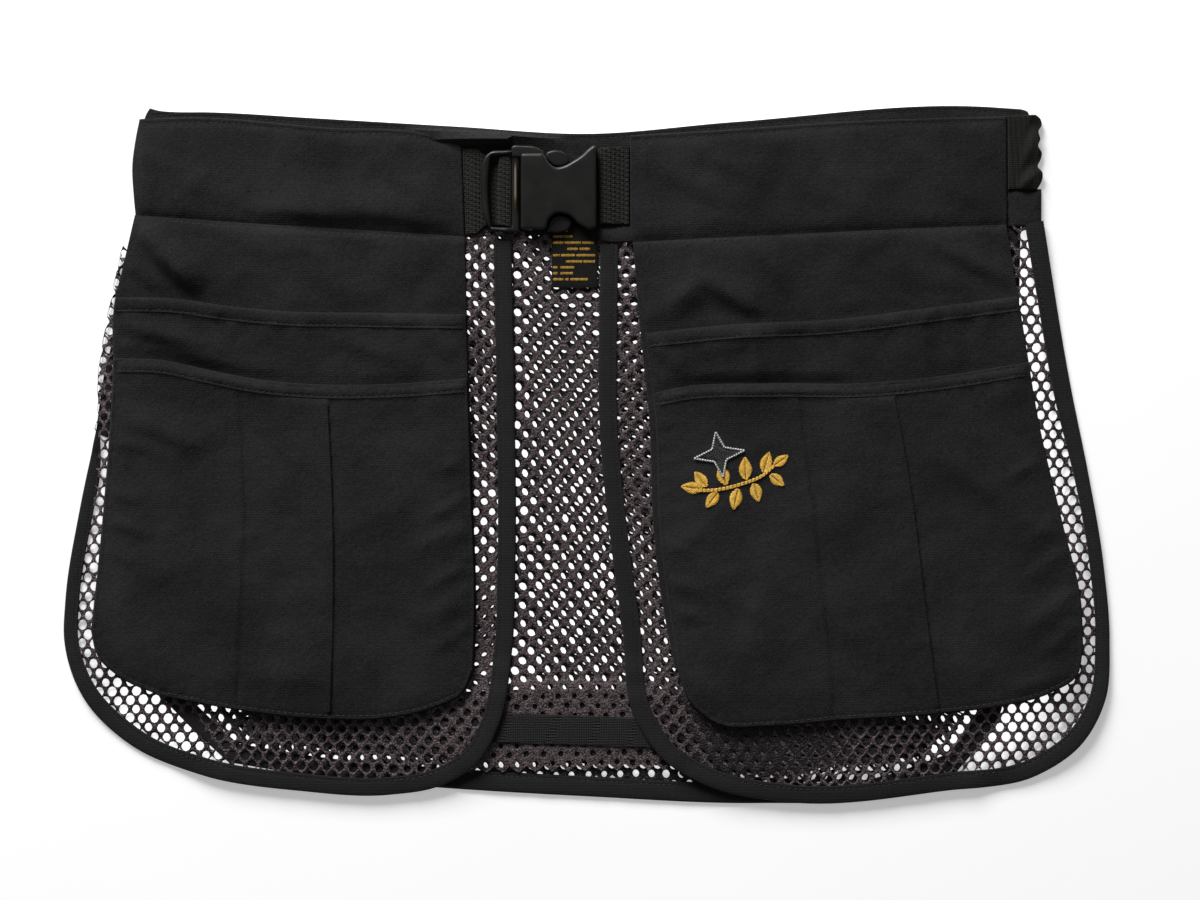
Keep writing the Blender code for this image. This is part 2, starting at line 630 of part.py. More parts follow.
def add_right_front():
    """The right front: net, bound edge and pocket cloth."""
    bound = curve(RIGHT_FRONT_BOUND, 9.0)
    widths = binding_widths(bound[::-1], 0.32, 0.66)[::-1]
    add_band("right_binding", beside(bound, widths), bound, front_rest, BINDING, "binding")
    seam = curve(RIGHT_WAISTBAND_EDGES["bottom"], 20.0)[::-1] - (0.0, WAIST_GAP)
    net = np.vstack([beside(bound, widths + SEAM), seam])
    yoke = outline_of(RIGHT_YOKE_EDGES, 12.0)
    upper_welt, lower_welt = (curve(WELTS[key], 12.0) for key in ("right_upper", "right_lower"))
    add_front_net("right_net", net, yoke)
    add_yoke("right_yoke", yoke, RIGHT_YOKE_FOLDS, upper_welt)
    add_upper_pocket("right_upper_pocket", pocket_outline(RIGHT_YOKE_EDGES, upper_welt, 14.0, 0.5),
                     upper_welt, lower_welt)
    add_lower_pocket("right_lower_pocket", pocket_outline(RIGHT_YOKE_EDGES, lower_welt, 11.0, 1.0),
                     lower_welt, PLEATS["right"], RIGHT_POCKET_FOLDS)


def add_waistband():
    """The waistband round the back, its two front ends and the side adjuster's webbing."""
    add_sheet("back_waistband", outline_of(BACK_WAISTBAND_EDGES, 20.0), flat(0.0),
              flat(WAISTBAND), COARSE * 2, "cloth")

    def folded_left(points):
        return np.where(points[:, 0] > -235.4, BAND_LOW, 0.0)

    nose = [np.array([(x, 118.0), (x, 184.0)]) for x in (-235.35, -235.75)]
    add_sheet("left_waistband", outline_of(LEFT_WAISTBAND_EDGES, 16.0), folded_left,
              flat(BAND_HIGH), COARSE, "cloth", nose)
    add_sheet("right_waistband", outline_of(RIGHT_WAISTBAND_EDGES, 20.0), flat(BAND_LOW),
              flat(BAND_HIGH), COARSE * 2, "cloth")

    def folded_right(points):
        return np.where(points[:, 0] < 235.5, BAND_LOW, 0.0)

    def rippled(points):
        return BAND_HIGH + 0.5 * np.sin(points[:, 1] * 0.42)

    nose = [np.array([(x, 138.0), (x, 184.0)]) for x in (235.45, 235.85)]
    add_sheet("side_webbing", outline_of(SIDE_WEBBING_EDGES, 7.0), folded_right, rippled, 8.0,
              "webbing", nose)


def bevelled(outline, top):
    """A top surface that slopes down to the outline over the buckle's chamfer."""
    return lambda points: top - BUCKLE_CHAMFER * 0.8 * (
        1.0 - np.clip(depth_in(points, outline) / BUCKLE_CHAMFER, 0.0, 1.0))


def add_buckle():
    """The fastened side-release buckle and the webbing that it holds."""
    low_y, high_y = BUCKLE_Y
    middle = (low_y + high_y) * 0.5
    frame = joined([curve([(MALE_X[1], low_y + 0.8), (-46.0, low_y), (-51.5, low_y + 0.3)], 6.0),
                    curve([(-51.5, low_y + 0.3), (-54.2, low_y + 5.0), (-55.4, middle),
                           (-54.2, high_y - 5.0), (-51.5, high_y - 0.3)], 6.0),
                    curve([(-51.5, high_y - 0.3), (-46.0, high_y), (MALE_X[1], high_y - 0.8)],
                          6.0),
                    np.array([(MALE_X[1], high_y - 0.8), (MALE_X[1], low_y + 0.8)])])
    window = np.array([(-50.6, low_y + 3.0), (-38.6, low_y + 3.0), (-38.6, high_y - 3.0),
                       (-50.6, high_y - 3.0)])
    add_sheet("buckle_male", frame, flat(WEB_AT_BUCKLE + SEAM), bevelled(frame, MALE_HIGH), 9.0,
              "buckle", [ring(inset(frame, 1.3))], [window])
    left, right = FEMALE_X
    scoop = [(-24.6, high_y), (-22.6, high_y - 5.4), (-15.1, high_y - 11.0),
             (-6.0, high_y - 8.0), (2.6, high_y)]
    mirrored = [(x, low_y + high_y - y) for x, y in scoop]
    body = joined([np.array([(left + 1.5, low_y), mirrored[0]]), curve(mirrored, 3.5),
                   np.array([mirrored[-1], (right - 1.0, low_y), (right, low_y + 1.4),
                             (right, high_y - 1.4), (right - 1.0, high_y), scoop[-1]]),
                   curve(scoop[::-1], 3.5),
                   np.array([scoop[0], (left + 1.5, high_y), (left, high_y - 1.5),
                             (left, low_y + 1.5), (left + 1.5, low_y)])])
    add_sheet("buckle_female", body, flat(BUCKLE_LOW), bevelled(body, FEMALE_HIGH), 10.0,
              "buckle", [ring(inset(body, BUCKLE_CHAMFER))])
    for name, places in (("buckle_arm_top", scoop), ("buckle_arm_bottom", mirrored)):
        edge = curve(places, 3.5)
        arm = inset(joined([edge, np.array([edge[-1], edge[0]])]), 0.8)
        add_sheet(name, arm, flat(BUCKLE_LOW + 1.5), flat(MALE_HIGH), 9.0, "buckle")

    left_strap = np.array([(-64.0, 116.6), (-57.5, 116.8), (-54.0, 120.4), (-39.0, 120.4),
                           (-39.0, 159.0), (-54.0, 159.0), (-57.5, 161.6), (-65.5, 161.9)])

    def left_low(points):
        return BAND_LOW + 4.6 * smooth((points[:, 0] + 50.0) / 3.6)

    creases = [np.array([(x, 115.0), (x, 165.0)]) for x in (-50.0, -48.2, -46.4)]
    add_sheet("left_webbing", left_strap, left_low,
              lambda points: left_low(points) + WEBBING, 12.0, "webbing", creases)
    right_strap = np.array([(right + SEAM, 121.9), (22.8, 121.6), (22.7, 163.0),
                            (right + SEAM, 162.0)])

    def right_low(points):
        return BAND_LOW + SEAM + 3.2 * smooth((22.0 - points[:, 0]) / 15.0)

    creases = [np.array([(x, 115.0), (x, 165.0)]) for x in (10.0, 14.0, 18.0)]
    add_sheet("right_webbing", right_strap, right_low,
              lambda points: right_low(points) + WEBBING, 12.0, "webbing", creases)


for old in list(bpy.data.objects):
    bpy.data.objects.remove(old, do_unlink=True)

add_back()
add_waistband()
add_left_front()
add_right_front()
add_buckle()
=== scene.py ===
"""Looks of a waist-length shooting vest, laid flat on a pale surface with its buckle fastened.

Sizes are in millimetres, in the frame's own axes: X across, Y up the vest, Z up from the surface.
"""
import math

import bpy
import numpy as np
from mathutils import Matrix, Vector
from mathutils.geometry import delaunay_2d_cdt


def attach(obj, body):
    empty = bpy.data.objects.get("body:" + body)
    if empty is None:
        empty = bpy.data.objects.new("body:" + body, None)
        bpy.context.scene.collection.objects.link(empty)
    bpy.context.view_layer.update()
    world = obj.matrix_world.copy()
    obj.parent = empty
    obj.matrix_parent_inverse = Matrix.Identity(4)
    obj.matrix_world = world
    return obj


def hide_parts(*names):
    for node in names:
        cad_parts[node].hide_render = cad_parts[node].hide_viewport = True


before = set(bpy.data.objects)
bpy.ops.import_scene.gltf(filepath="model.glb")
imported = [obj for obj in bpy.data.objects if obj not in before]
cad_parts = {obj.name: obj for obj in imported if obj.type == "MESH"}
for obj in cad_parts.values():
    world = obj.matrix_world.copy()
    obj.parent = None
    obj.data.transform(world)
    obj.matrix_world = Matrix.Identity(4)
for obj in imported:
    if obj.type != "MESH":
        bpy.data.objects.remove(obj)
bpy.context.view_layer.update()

MM = 0.001

# Thicknesses and heights, as in the solids
SEAM = 0.3
NET = 1.0
CLOTH = 1.0
TAPE = 0.8
WAISTBAND = 2.0
BINDING = 2.2
WEBBING = 1.5
POUCH_LOW = NET + SEAM
POUCH_OVER_STRIP = POUCH_LOW + CLOTH + SEAM
FRONT_OVER_BACK = POUCH_LOW + NET + 0.4
FRONT_OVER_STRIP = POUCH_OVER_STRIP + NET + 0.4
FRONT_OVER_TAPE = FRONT_OVER_STRIP + TAPE + SEAM
POCKET_FLOOR = 4.0
YOKE_LOW = POCKET_FLOOR + NET + SEAM
UPPER_LOW = YOKE_LOW + CLOTH + SEAM
LOWER_LOW = UPPER_LOW + CLOTH + SEAM
BAND_LOW = WAISTBAND + SEAM
BAND_HIGH = BAND_LOW + 2.3

# Widths of the sewn edges
BACK_BINDING = 10.5
OUTER_BINDING = 7.2
HEM_BINDING = 9.4
INNER_BINDING = 9.6
WELT_HEM = 8.0

# Fineness of the meshes
CLOTH_STEP = 2.7
EDGE_STEP = 2.6

# The net: staggered round holes
HOLE_PITCH = 8.3
ROW_PITCH = 5.0
HOLE_HALF_WIDTH = 2.28
HOLE_HALF_HEIGHT = 2.55
STRAND_HIGH = 0.45


def closed(**edges):
    """The edges of a closed outline. Each starts where the one before it ends."""
    last = list(edges.values())[-1][-1]
    for name, places in edges.items():
        edges[name] = [last] + places
        last = places[-1]
    return edges


# Outline edges. Each row is a place (x, y) that a smooth edge passes through.
BACK_EDGES = closed(
    right=[(227.4, 0), (222, -124)],
    right_corner=[(219.4, -136.5), (208, -154), (195.8, -168.3)],
    hem=[(155.6, -181.5), (92, -184.6), (0, -181), (-80, -176.2), (-140, -171), (-189.5, -163)],
    left_corner=[(-208, -146), (-226, -127.5)],
    left=[(-229, 0), (-233, 122)],
    top=[(0, 114.9), (230, 120.5)])
POUCH_EDGES = closed(
    top=[(0, 113.8), (-218.5, 120.8)],
    left=[(-216.5, 0), (-213, -122)],
    left_corner=[(-178.5, -150.5)],
    bottom=[(-120, -158.8), (-46, -162.8), (28, -164.8), (100, -167.3), (176.5, -160.5)],
    right_corner=[(190.5, -146), (208, -124)],
    right=[(216.5, 0), (219, 119.8)])
STRIP_EDGES = closed(
    top=[(100, -128), (28, -124.8), (-46, -124.8), (-120, -130), (-188, -140)],
    left=[(-178, -150)],
    bottom=[(-120, -158.3), (-46, -162.3), (28, -164.3), (100, -166.8), (176, -160)],
    right=[(188, -145)])
BACK_WAISTBAND_EDGES = closed(
    top=[(211.2, 184.2), (78.7, 176.2), (-0.8, 169.9), (-67, 173.6), (-146.5, 178.3), (-199.5, 181.3),
        (-221, 181.6), (-226, 182), (-231.2, 183.4)],
    left=[(-233, 180.4), (-235, 174), (-235, 123.2)],
    bottom=[(-30, 116.2), (2, 114.8), (10, 112.4), (24, 112.2), (50, 115.8), (214, 120.4),
        (240.9, 120.7)],
    end=[(240.9, 140.5)],
    step=[(235.1, 140.5)],
    right=[(235.1, 178.4), (233.6, 181.6), (229.8, 182.9)])
SIDE_WEBBING_EDGES = closed(
    top=[(222.8, 178.8)],
    left=[(223, 140.2)],
    bottom=[(238.4, 140.2)],
    fold=[(240.9, 144.6), (241.1, 149), (238.6, 152.4), (240.3, 156), (241, 159.6), (238.8, 163.4),
        (239.9, 166.6), (239, 170.8), (240.9, 174.6), (240.2, 177.6), (237.6, 179.4)])
WAISTBAND_EDGES = {
    "left": closed(
        top=[(-77.1, 167.7), (-139.1, 173), (-210.7, 178.3), (-236.4, 177.4)],
        fold=[(-238.4, 168), (-240.4, 153), (-239.6, 137), (-238.6, 126.4)],
        bottom=[(-192.1, 122.2), (-123.8, 117.9), (-64.4, 114.7)],
        end=[(-66, 163.5)]),
    "right": closed(
        top=[(130.1, 175.7), (77.6, 172), (23.1, 168.8)],
        left=[(23.4, 112.4)],
        bottom=[(130.1, 117.4), (222.3, 121.1)],
        right=[(222.2, 179)]),
}
LEFT_BOUND = [(-259.4, 13), (-268.4, -29.4), (-275.9, -77.1), (-276.4, -98.3), (-265.3, -130.1),
    (-241.9, -153.4), (-202.2, -169.9), (-151.8, -177.8), (-104.1, -179.9), (-77.6, -175.2),
    (-57.5, -163), (-45.8, -141.8), (-39.5, -106.3), (-37.4, -55.9), (-37.9, 28.9), (-39.5, 113)]
RIGHT_BOUND = [(7.2, 111), (7.7, 2.4), (13, -48), (19.2, -94.1), (24.6, -136.5), (31, -148.7),
    (40.5, -160.9), (63.3, -174.6), (105.2, -183.6), (189.5, -177.8), (238.2, -169.9), (261, -154),
    (274.3, -130.1), (276.9, -98.3), (273.7, -58.6), (265.8, -10.9), (256.3, 36.8), (246.7, 92.5),
    (241.6, 123.6)]
LEFT_FOLD = [(-240.8, 125.6), (-247.4, 100), (-252.2, 76.6), (-258.4, 40), (-259.8, 14.6)]
# Where the folded net's limit leaves the edge, under the binding
LEFT_LIMIT = LEFT_FOLD + [(-266, 5), (-276, -12)]
YOKE_EDGES = {
    "left": closed(
        top=[(-107.9, 117.1), (-170.4, 120.8), (-238.6, 125.6)],
        left=[(-245, 98), (-248.9, 81.9), (-250.2, 41.6), (-256.3, -42.1), (-261.6, -93)],
        corner=[(-258.4, -106), (-245.1, -118.5), (-225, -127.5)],
        bottom=[(-185.8, -134.9), (-142.3, -139.7), (-108.4, -139.7), (-81.9, -134.4), (-65, -126),
            (-59.1, -113.2)],
        right=[(-58.2, -81.9), (-60.2, -15.6), (-62.8, 66), (-64.2, 114.2)]),
    "right": closed(
        top=[(137, 116.9), (60.2, 113.2), (24.6, 111.4)],
        left=[(28.4, 66), (33.2, 18.3), (35.8, -44), (40.8, -82), (47.2, -115)],
        bottom=[(54.3, -130.8), (68.6, -142.4), (98, -143.6), (132.8, -140.7), (186.8, -137),
            (217, -133.2), (245, -126), (259, -117), (262.4, -102)],
        right=[(261.1, -76.4), (251.8, -37.4), (239.6, 14), (231, 65), (221.8, 120.6)]),
}
WELTS = {
    "left_upper": [(-247.4, 83.5), (-218.1, 82.9), (-191.1, 79.2), (-160, 76.2), (-120, 75.3),
        (-63.4, 74.5)],
    "left_lower": [(-249.9, 51.7), (-222.3, 50.6), (-202.7, 46.4), (-172.5, 40.5), (-139.1, 37.8),
        (-94.1, 38.6), (-62.3, 41.1)],
    "right_upper": [(29.5, 64.4), (77.6, 69.2), (130.1, 71.8), (183.1, 78.2), (226.9, 83.8)],
    "right_lower": [(34, 32.9), (49.6, 36.4), (95.1, 38.4), (147.6, 38.6), (183.1, 41.8), (232.8, 49.6)],
}
# Box pleats: the lines of the two folded edges, and how high each stands
PLEATS = {
    "left": ([(-184.2, 37), (-180.5, -25.2), (-183.6, -94.1), (-184.7, -130)],
        [(-135.9, 33), (-133.3, -24.1), (-132.8, -82.4), (-134.4, -135)]),
    "right": ([(111, 33), (119, -25.7), (122.7, -62.8), (127.5, -99.9), (129.6, -136)],
        [(161.9, 34), (170.9, -15.6), (179.4, -82.9), (185.8, -132)]),
}
PLEAT_RISES = (-0.55, 1.2)
PLEAT_EDGE = 0.7

FOLD_SCALE = 1.4
# Folds: start x, start y, end x, end y, height, half width on the left of the line, on its right
BAND_FOLDS = {
    "left": [(-182, 131, -128, 126, 0.8, 8, 3.6), (-128, 132, -84, 124, 1.2, 9, 3.6),
        (-104, 152, -78, 126, 1.2, 10, 5), (-214, 150, -190, 136, 0.6, 9, 6)],
    "right": [(34, 152, 74, 134, 1.3, 9, 5), (60, 160, 88, 146, 0.9, 7, 4),
        (110, 146, 148, 128, 1.1, 11, 6), (176, 154, 206, 134, 1, 10, 6)],
}
YOKE_FOLDS = {
    "left": [(-237, 121, -219, 98, 3.4, 9, 3), (-226, 108, -204, 84, 4.4, 10, 3.2),
        (-243, 100, -228, 90, 1.6, 5, 2.6), (-160, 112, -132, 92, 0.7, 12, 9),
        (-110, 90, -84, 104, 0.8, 10, 8), (-186, 117, -170, 104, 0.9, 8, 4)],
    "right": [(44, 76, 60, 92, 2.4, 5, 8), (60, 93, 90, 75, 3, 9, 3.6), (90, 112, 106, 86, 2, 8, 4),
        (185, 110, 224, 91, 2, 8, 4), (140, 84, 170, 96, 0.6, 9, 9)],
}
UPPER_FOLDS = {
    "left": [(-248, 70, -206, 58, 2.4, 5, 3.6), (-138, 62, -96, 50, 1.1, 7, 4),
        (-86, 68, -72, 50, 1.3, 6, 3)],
    "right": [(34, 59, 50, 44, 1.5, 5, 3), (56, 52, 92, 64, 1.2, 6, 6), (86, 66, 92, 44, 1.6, 5, 3.2),
        (98, 66, 104, 46, 1.1, 3.6, 3.6), (138, 68, 146, 50, 0.9, 6, 3.4),
        (176, 74, 180, 52, 1.3, 4, 2.8), (190, 76, 196, 54, 1.3, 4, 2.8), (206, 76, 212, 56, 1, 4, 3)],
}
LOWER_FOLDS = {
    "left": [(-250, 22, -206, 5, 1.5, 8, 4.5), (-252, 8, -226, 2, 0.9, 4, 3),
        (-253, -18, -238, -24, 1, 4, 3), (-254, -34, -232, -42, 1, 4, 3),
        (-256, -50, -242, -56, 0.8, 4, 3), (-247, -64, -236, -108, 2, 6, 8),
        (-236, -78, -222, -122, 1.2, 7, 9), (-62, -2, -78, -8, 0.8, 4, 3), (-61, -22, -82, -32, 1, 4, 3),
        (-60, -36, -94, -52, 0.9, 6, 4), (-59, -55, -84, -70, 0.8, 4, 3), (-59, -72, -90, -88, 1, 6, 4),
        (-60, -90, -80, -102, 0.7, 4, 3), (-172, -34, -148, 8, 1.1, 14, 9),
        (-172, -116, -140, -118, 1, 9, 6), (-126, 12, -88, -22, 1, 16, 12),
        (-216, -20, -204, -76, 0.8, 14, 12)],
    "right": [(37, -46, 52, -50, 0.9, 3, 4), (39, -66, 60, -72, 1.2, 4, 5), (43, -82, 64, -86, 1, 4, 5),
        (48, -112, 66, -128, 1.1, 6, 5), (98, -56, 82, -116, 1.6, 14, 9), (68, -70, 74, -120, 1, 8, 9),
        (186, 2, 226, -32, 1.5, 12, 6), (132, 16, 158, -30, 1.2, 12, 12), (240, -2, 222, -12, 1, 4, 3),
        (250, -34, 232, -44, 0.9, 5, 3), (253, -50, 230, -66, 0.8, 5, 3), (259, -70, 232, -92, 1.2, 7, 4),
        (261, -88, 240, -104, 0.9, 5, 3), (250, -116, 224, -124, 1, 5, 4),
        (196, -84, 206, -124, 1, 12, 10)],
}
# Hollows and raised stretches: x, y, half length, half width, depth or height
UPPER_LIFTS = {
    "left": [(-215, 82, 30, 20, 1.2), (-110, 76, 40, 20, 0.5)],
    "right": [(80, 70, 34, 20, 1.2), (196, 80, 26, 20, 0.9)],
}
LOWER_LIFTS = {
    "left": [(-192, 44, 42, 24, 2.4), (-92, 38, 26, 24, 0.7)],
    "right": [(86, 38, 44, 24, 2.2), (200, 42, 26, 24, 0.8)],
}
MOUTHS = {
    "left": [(-196, 0, 36, 9, 2.7), (-96, 0, 26, 9, 1.2)],
    "right": [(80, 0, 34, 9, 2.8), (130, 0, 20, 9, 1.4), (196, 0, 20, 9, 0.8)],
}
YOKE_DIPS = {
    "left": [(-203, 87, 9, 7, 1.3), (-240, 94, 7, 4, 0.8)],
    "right": [(66, 74, 16, 5, 1.3), (196, 84, 22, 5, 0.8)],
}
# The right cloth's lower edge starts where its pockets' do, a little further in
YOKE_EDGES["right"]["bottom"][0] = (48.5, -115)
TAPE_PLACES = [(-62, -144), (-10, -145.6), (40, -147.5)]
TAPE_HALF = 7.9


def smooth(value):
    """Ease from 0 to 1 as value goes from 0 to 1."""
    value = np.clip(value, 0.0, 1.0)
    return value * value * (3.0 - 2.0 * value)


def ease(value, start, width):
    """Ease from 0 at start to 1 at start + width. With a negative width it runs the other way."""
    return smooth((value - start) / width)


def curve(places, step=EDGE_STEP):
    """Points about one step apart on a smooth line through the places."""
    places = np.array(places, float)
    spans = np.diff(places, axis=0)
    lengths = np.linalg.norm(spans, axis=1)
    slopes = spans / lengths[:, None]
    before, after = lengths[:-1, None], lengths[1:, None]
    middle = (slopes[1:] * before + slopes[:-1] * after) / (before + after)
    tangents = np.vstack([slopes[:1], middle, slopes[-1:]])
    points = []
    for index, length in enumerate(lengths):
        count = max(1, int(round(length / step)))
        t = (np.arange(count) / count)[:, None]
        start, end = places[index], places[index + 1]
        leave, arrive = tangents[index] * length, tangents[index + 1] * length
        points.append((2 * t**3 - 3 * t**2 + 1) * start + (t**3 - 2 * t**2 + t) * leave
                      + (3 * t**2 - 2 * t**3) * end + (t**3 - t**2) * arrive)
    return np.vstack(points + [places[-1:]])


def joined(edges):
    """One closed outline, counter-clockwise, from edges that follow each other."""
    points = np.vstack([edge[:-1] for edge in edges])
    x, y = points.T
    area = np.sum(x * np.roll(y, -1) - np.roll(x, -1) * y)
    return points if area > 0 else points[::-1]


def outline_of(edges, step=EDGE_STEP):
    """The closed outline of a table of edges."""
    return joined([curve(places, step) for places in edges.values()])


def looped(outline):
    """An outline as a line that ends where it starts."""
    return np.vstack([outline, outline[:1]])


def normals(spans):
    """Unit vectors to the left of the spans."""
    ahead = spans / np.linalg.norm(spans, axis=1)[:, None]
    return np.stack([-ahead[:, 1], ahead[:, 0]], axis=1)


def inset(outline, distance):
    """The closed outline moved inward by distance, or outward where it is negative."""
    normal = normals(np.roll(outline, -1, axis=0) - outline)
    before = np.roll(normal, 1, axis=0)
    share = 1.0 + np.sum(normal * before, axis=1)
    return outline + (normal + before) / np.maximum(share, 0.5)[:, None] * distance


def beside(path, distance):
    """An open path moved to its left by distance, which may differ from point to point."""
    return path + normals(np.gradient(path, axis=0)) * np.reshape(distance, (-1, 1))


def some_at_a_time(points):
    """Slices that keep the tables of all points against all edges small."""
    return [slice(first, first + 512) for first in range(0, len(points), 512)]


def gap_to(points, path):
    """Distance from each point to the path, and how far along the path the nearest place is."""
    starts = path[:-1]
    span_x, span_y = np.diff(path, axis=0).T
    size = span_x * span_x + span_y * span_y
    distance, along = np.empty(len(points)), np.empty(len(points))
    for part in some_at_a_time(points):
        across = points[part, 0:1] - starts[:, 0]
        up = points[part, 1:2] - starts[:, 1]
        share = np.clip((across * span_x + up * span_y) / size, 0.0, 1.0)
        across -= share * span_x
        up -= share * span_y
        squared = across * across + up * up
        nearest = np.argmin(squared, axis=1)
        row = np.arange(len(nearest))
        distance[part] = np.sqrt(squared[row, nearest])
        along[part] = (nearest + share[row, nearest]) / len(starts)
    return distance, along


def depth_in(points, outline):
    """How far each point lies inside the closed outline. Outside, it is negative."""
    distance, _ = gap_to(points, looped(outline))
    x0, y0 = outline.T
    x1, y1 = np.roll(x0, -1), np.roll(y0, -1)
    slant = (x1 - x0) / np.where(y1 == y0, 1.0, y1 - y0)
    is_inside = np.empty(len(points), bool)
    for part in some_at_a_time(points):
        x, y = points[part, 0:1], points[part, 1:2]
        crossings = ((y0 > y) != (y1 > y)) & (x < x0 + (y - y0) * slant)
        is_inside[part] = np.count_nonzero(crossings, axis=1) % 2 == 1
    return np.where(is_inside, distance, -distance)


def right_of(points, path):
    """Signed distance to the right of a path that runs down the page."""
    order = np.argsort(path[:, 1])
    side = points[:, 0] - np.interp(points[:, 1], path[order, 1], path[order, 0])
    return np.where(side >= 0.0, 1.0, -1.0) * gap_to(points, path)[0]


def above(points, path):
    """Distance above a path that runs across the page. Below, it is negative."""
    side = points[:, 1] - np.interp(points[:, 0], path[:, 0], path[:, 1])
    return np.where(side >= 0.0, 1.0, -1.0) * gap_to(points, path)[0]


def near(points, outline, start, end):
    """1 up to start millimetres outside an outline, easing to 0 at end millimetres."""
    return 1.0 - ease(-depth_in(points, outline), start, end - start)


def folds(points, table):
    """Height of the soft folds in a table. Each is highest in its middle and may be lopsided."""
    total = np.zeros(len(points))
    for start_x, start_y, end_x, end_y, height, left_width, right_width in table:
        line = np.array([(start_x, start_y), (end_x, end_y)], float)
        distance, along = gap_to(points, line)
        ahead, offset = line[1] - line[0], points - line[0]
        side = ahead[0] * offset[:, 1] - ahead[1] * offset[:, 0]
        width = np.where(side > 0.0, left_width, right_width)
        swell = np.sin(np.pi * np.clip(0.12 + 0.76 * along, 0.0, 1.0))
        total += FOLD_SCALE * height * swell * np.exp(-(distance / width) ** 2)
    return total


def dips(points, table):
    """Depth of the hollows in a table: x, y, half length, half width, depth."""
    total = np.zeros(len(points))
    for x, y, half_length, half_width, depth in table:
        total += depth * np.exp(-((points[:, 0] - x) / half_length) ** 2
                                - ((points[:, 1] - y) / half_width) ** 2)
    return total


def ripple(points, height, seed):
    """A slow uneven swell, different for each seed."""
    x, y = points[:, 0] + 37.0 * seed, points[:, 1] - 23.0 * seed
    return height / 2.7 * (np.sin(x / 17.0 + 1.3 * np.sin(y / 29.0)) + 0.7 * np.sin((x + y) / 11.0)
                           + np.sin(y / 13.0 + 1.1 * np.sin(x / 23.0)))


def crumple(points, height, size, seed):
    """Irregular soft wrinkles of a handled cloth, from broad ones of a size down to fine ones."""
    random = np.random.default_rng(seed)
    total = np.zeros(len(points))
    for share in (1.0, 0.58, 0.58**2, 0.58**3):
        turn, first, second = random.uniform(0.0, math.tau, 3)
        cosine, sine = math.cos(turn) / (size * share), math.sin(turn) / (size * share)
        across = points[:, 0] * cosine + points[:, 1] * sine
        along = points[:, 1] * cosine - points[:, 0] * sine
        drift = 1.3 * np.sin(0.7 * along + second) + 0.8 * np.sin(0.5 * across + 1.4 * along)
        crest = np.sin(across + drift + first) * np.sin(0.55 * along + np.sin(0.45 * across))
        total += share * (crest + 0.35 * np.abs(crest))
    return height * total / 1.6


def pucker(points, line, height, reach, pitch):
    """Small ripples that a row of stitches draws up across a line, fading away from it."""
    distance, along = gap_to(points, line)
    s = along * np.sum(np.linalg.norm(np.diff(line, axis=0), axis=1))
    beat = np.sin(math.tau * s / pitch + 1.7 * np.sin(s / 19.0) + 1.1 * np.sin(s / 7.3))
    return height * (0.6 + 0.4 * np.sin(s / 31.0 + 1.0)) * beat * np.exp(-distance / reach)


def groove(points, line, depth, half_width):
    """The dent of a stitch row along a line."""
    return depth * np.exp(-(gap_to(points, line)[0] / half_width) ** 2)


def stitch_lines(line, half_width):
    """A stitch row's line with one crease on each side of it, so that the mesh can dent."""
    return [line, beside(line, half_width), beside(line, -half_width)]


def flat(height):
    """A surface at one height."""
    return lambda points: np.full(len(points), height)


back_outline = outline_of(BACK_EDGES, 12.0)
strip_outline = outline_of(STRIP_EDGES, 12.0)
tape_centre = curve(TAPE_PLACES, 2.0)
tape_outline = np.vstack([tape_centre - (0.0, TAPE_HALF), (tape_centre + (0.0, TAPE_HALF))[::-1]])


def front_rest(points):
    """Height at which a front lies on the back, or on the surface beyond the back's edge."""
    level = (FRONT_OVER_BACK
             + (FRONT_OVER_STRIP - FRONT_OVER_BACK) * near(points, strip_outline, 9.0, 20.0)
             + (FRONT_OVER_TAPE - FRONT_OVER_STRIP) * near(points, tape_outline, 9.0, 18.0))
    return level * near(points, back_outline, 10.0, 24.0)


# Materials
class Value:
    """A number that changes over a material. Arithmetic on it makes math nodes."""

    def __init__(self, tree, socket):
        self.tree, self.socket = tree, socket

    def math(self, operation, first, second):
        """The result of a math node on two values, either of which may be a plain number."""
        node = self.tree.nodes.new("ShaderNodeMath")
        node.operation = operation
        for socket, value in zip(node.inputs, (first, second)):
            if isinstance(value, Value):
                self.tree.links.new(value.socket, socket)
            else:
                socket.default_value = value
        return Value(self.tree, node.outputs[0])

    def __add__(self, other):
        return self.math("ADD", self, other)

    def __sub__(self, other):
        return self.math("SUBTRACT", self, other)

    def __rsub__(self, other):
        return self.math("SUBTRACT", other, self)

    def __mul__(self, other):
        return self.math("MULTIPLY", self, other)

    def __truediv__(self, other):
        return self.math("DIVIDE", self, other)

    def __pow__(self, other):
        return self.math("POWER", self, other)

    def __abs__(self):
        return self.math("ABSOLUTE", self, 0.0)

    def within(self, low, high):
        """The value, kept between two limits."""
        return self.math("MINIMUM", self.math("MAXIMUM", self, low), high)


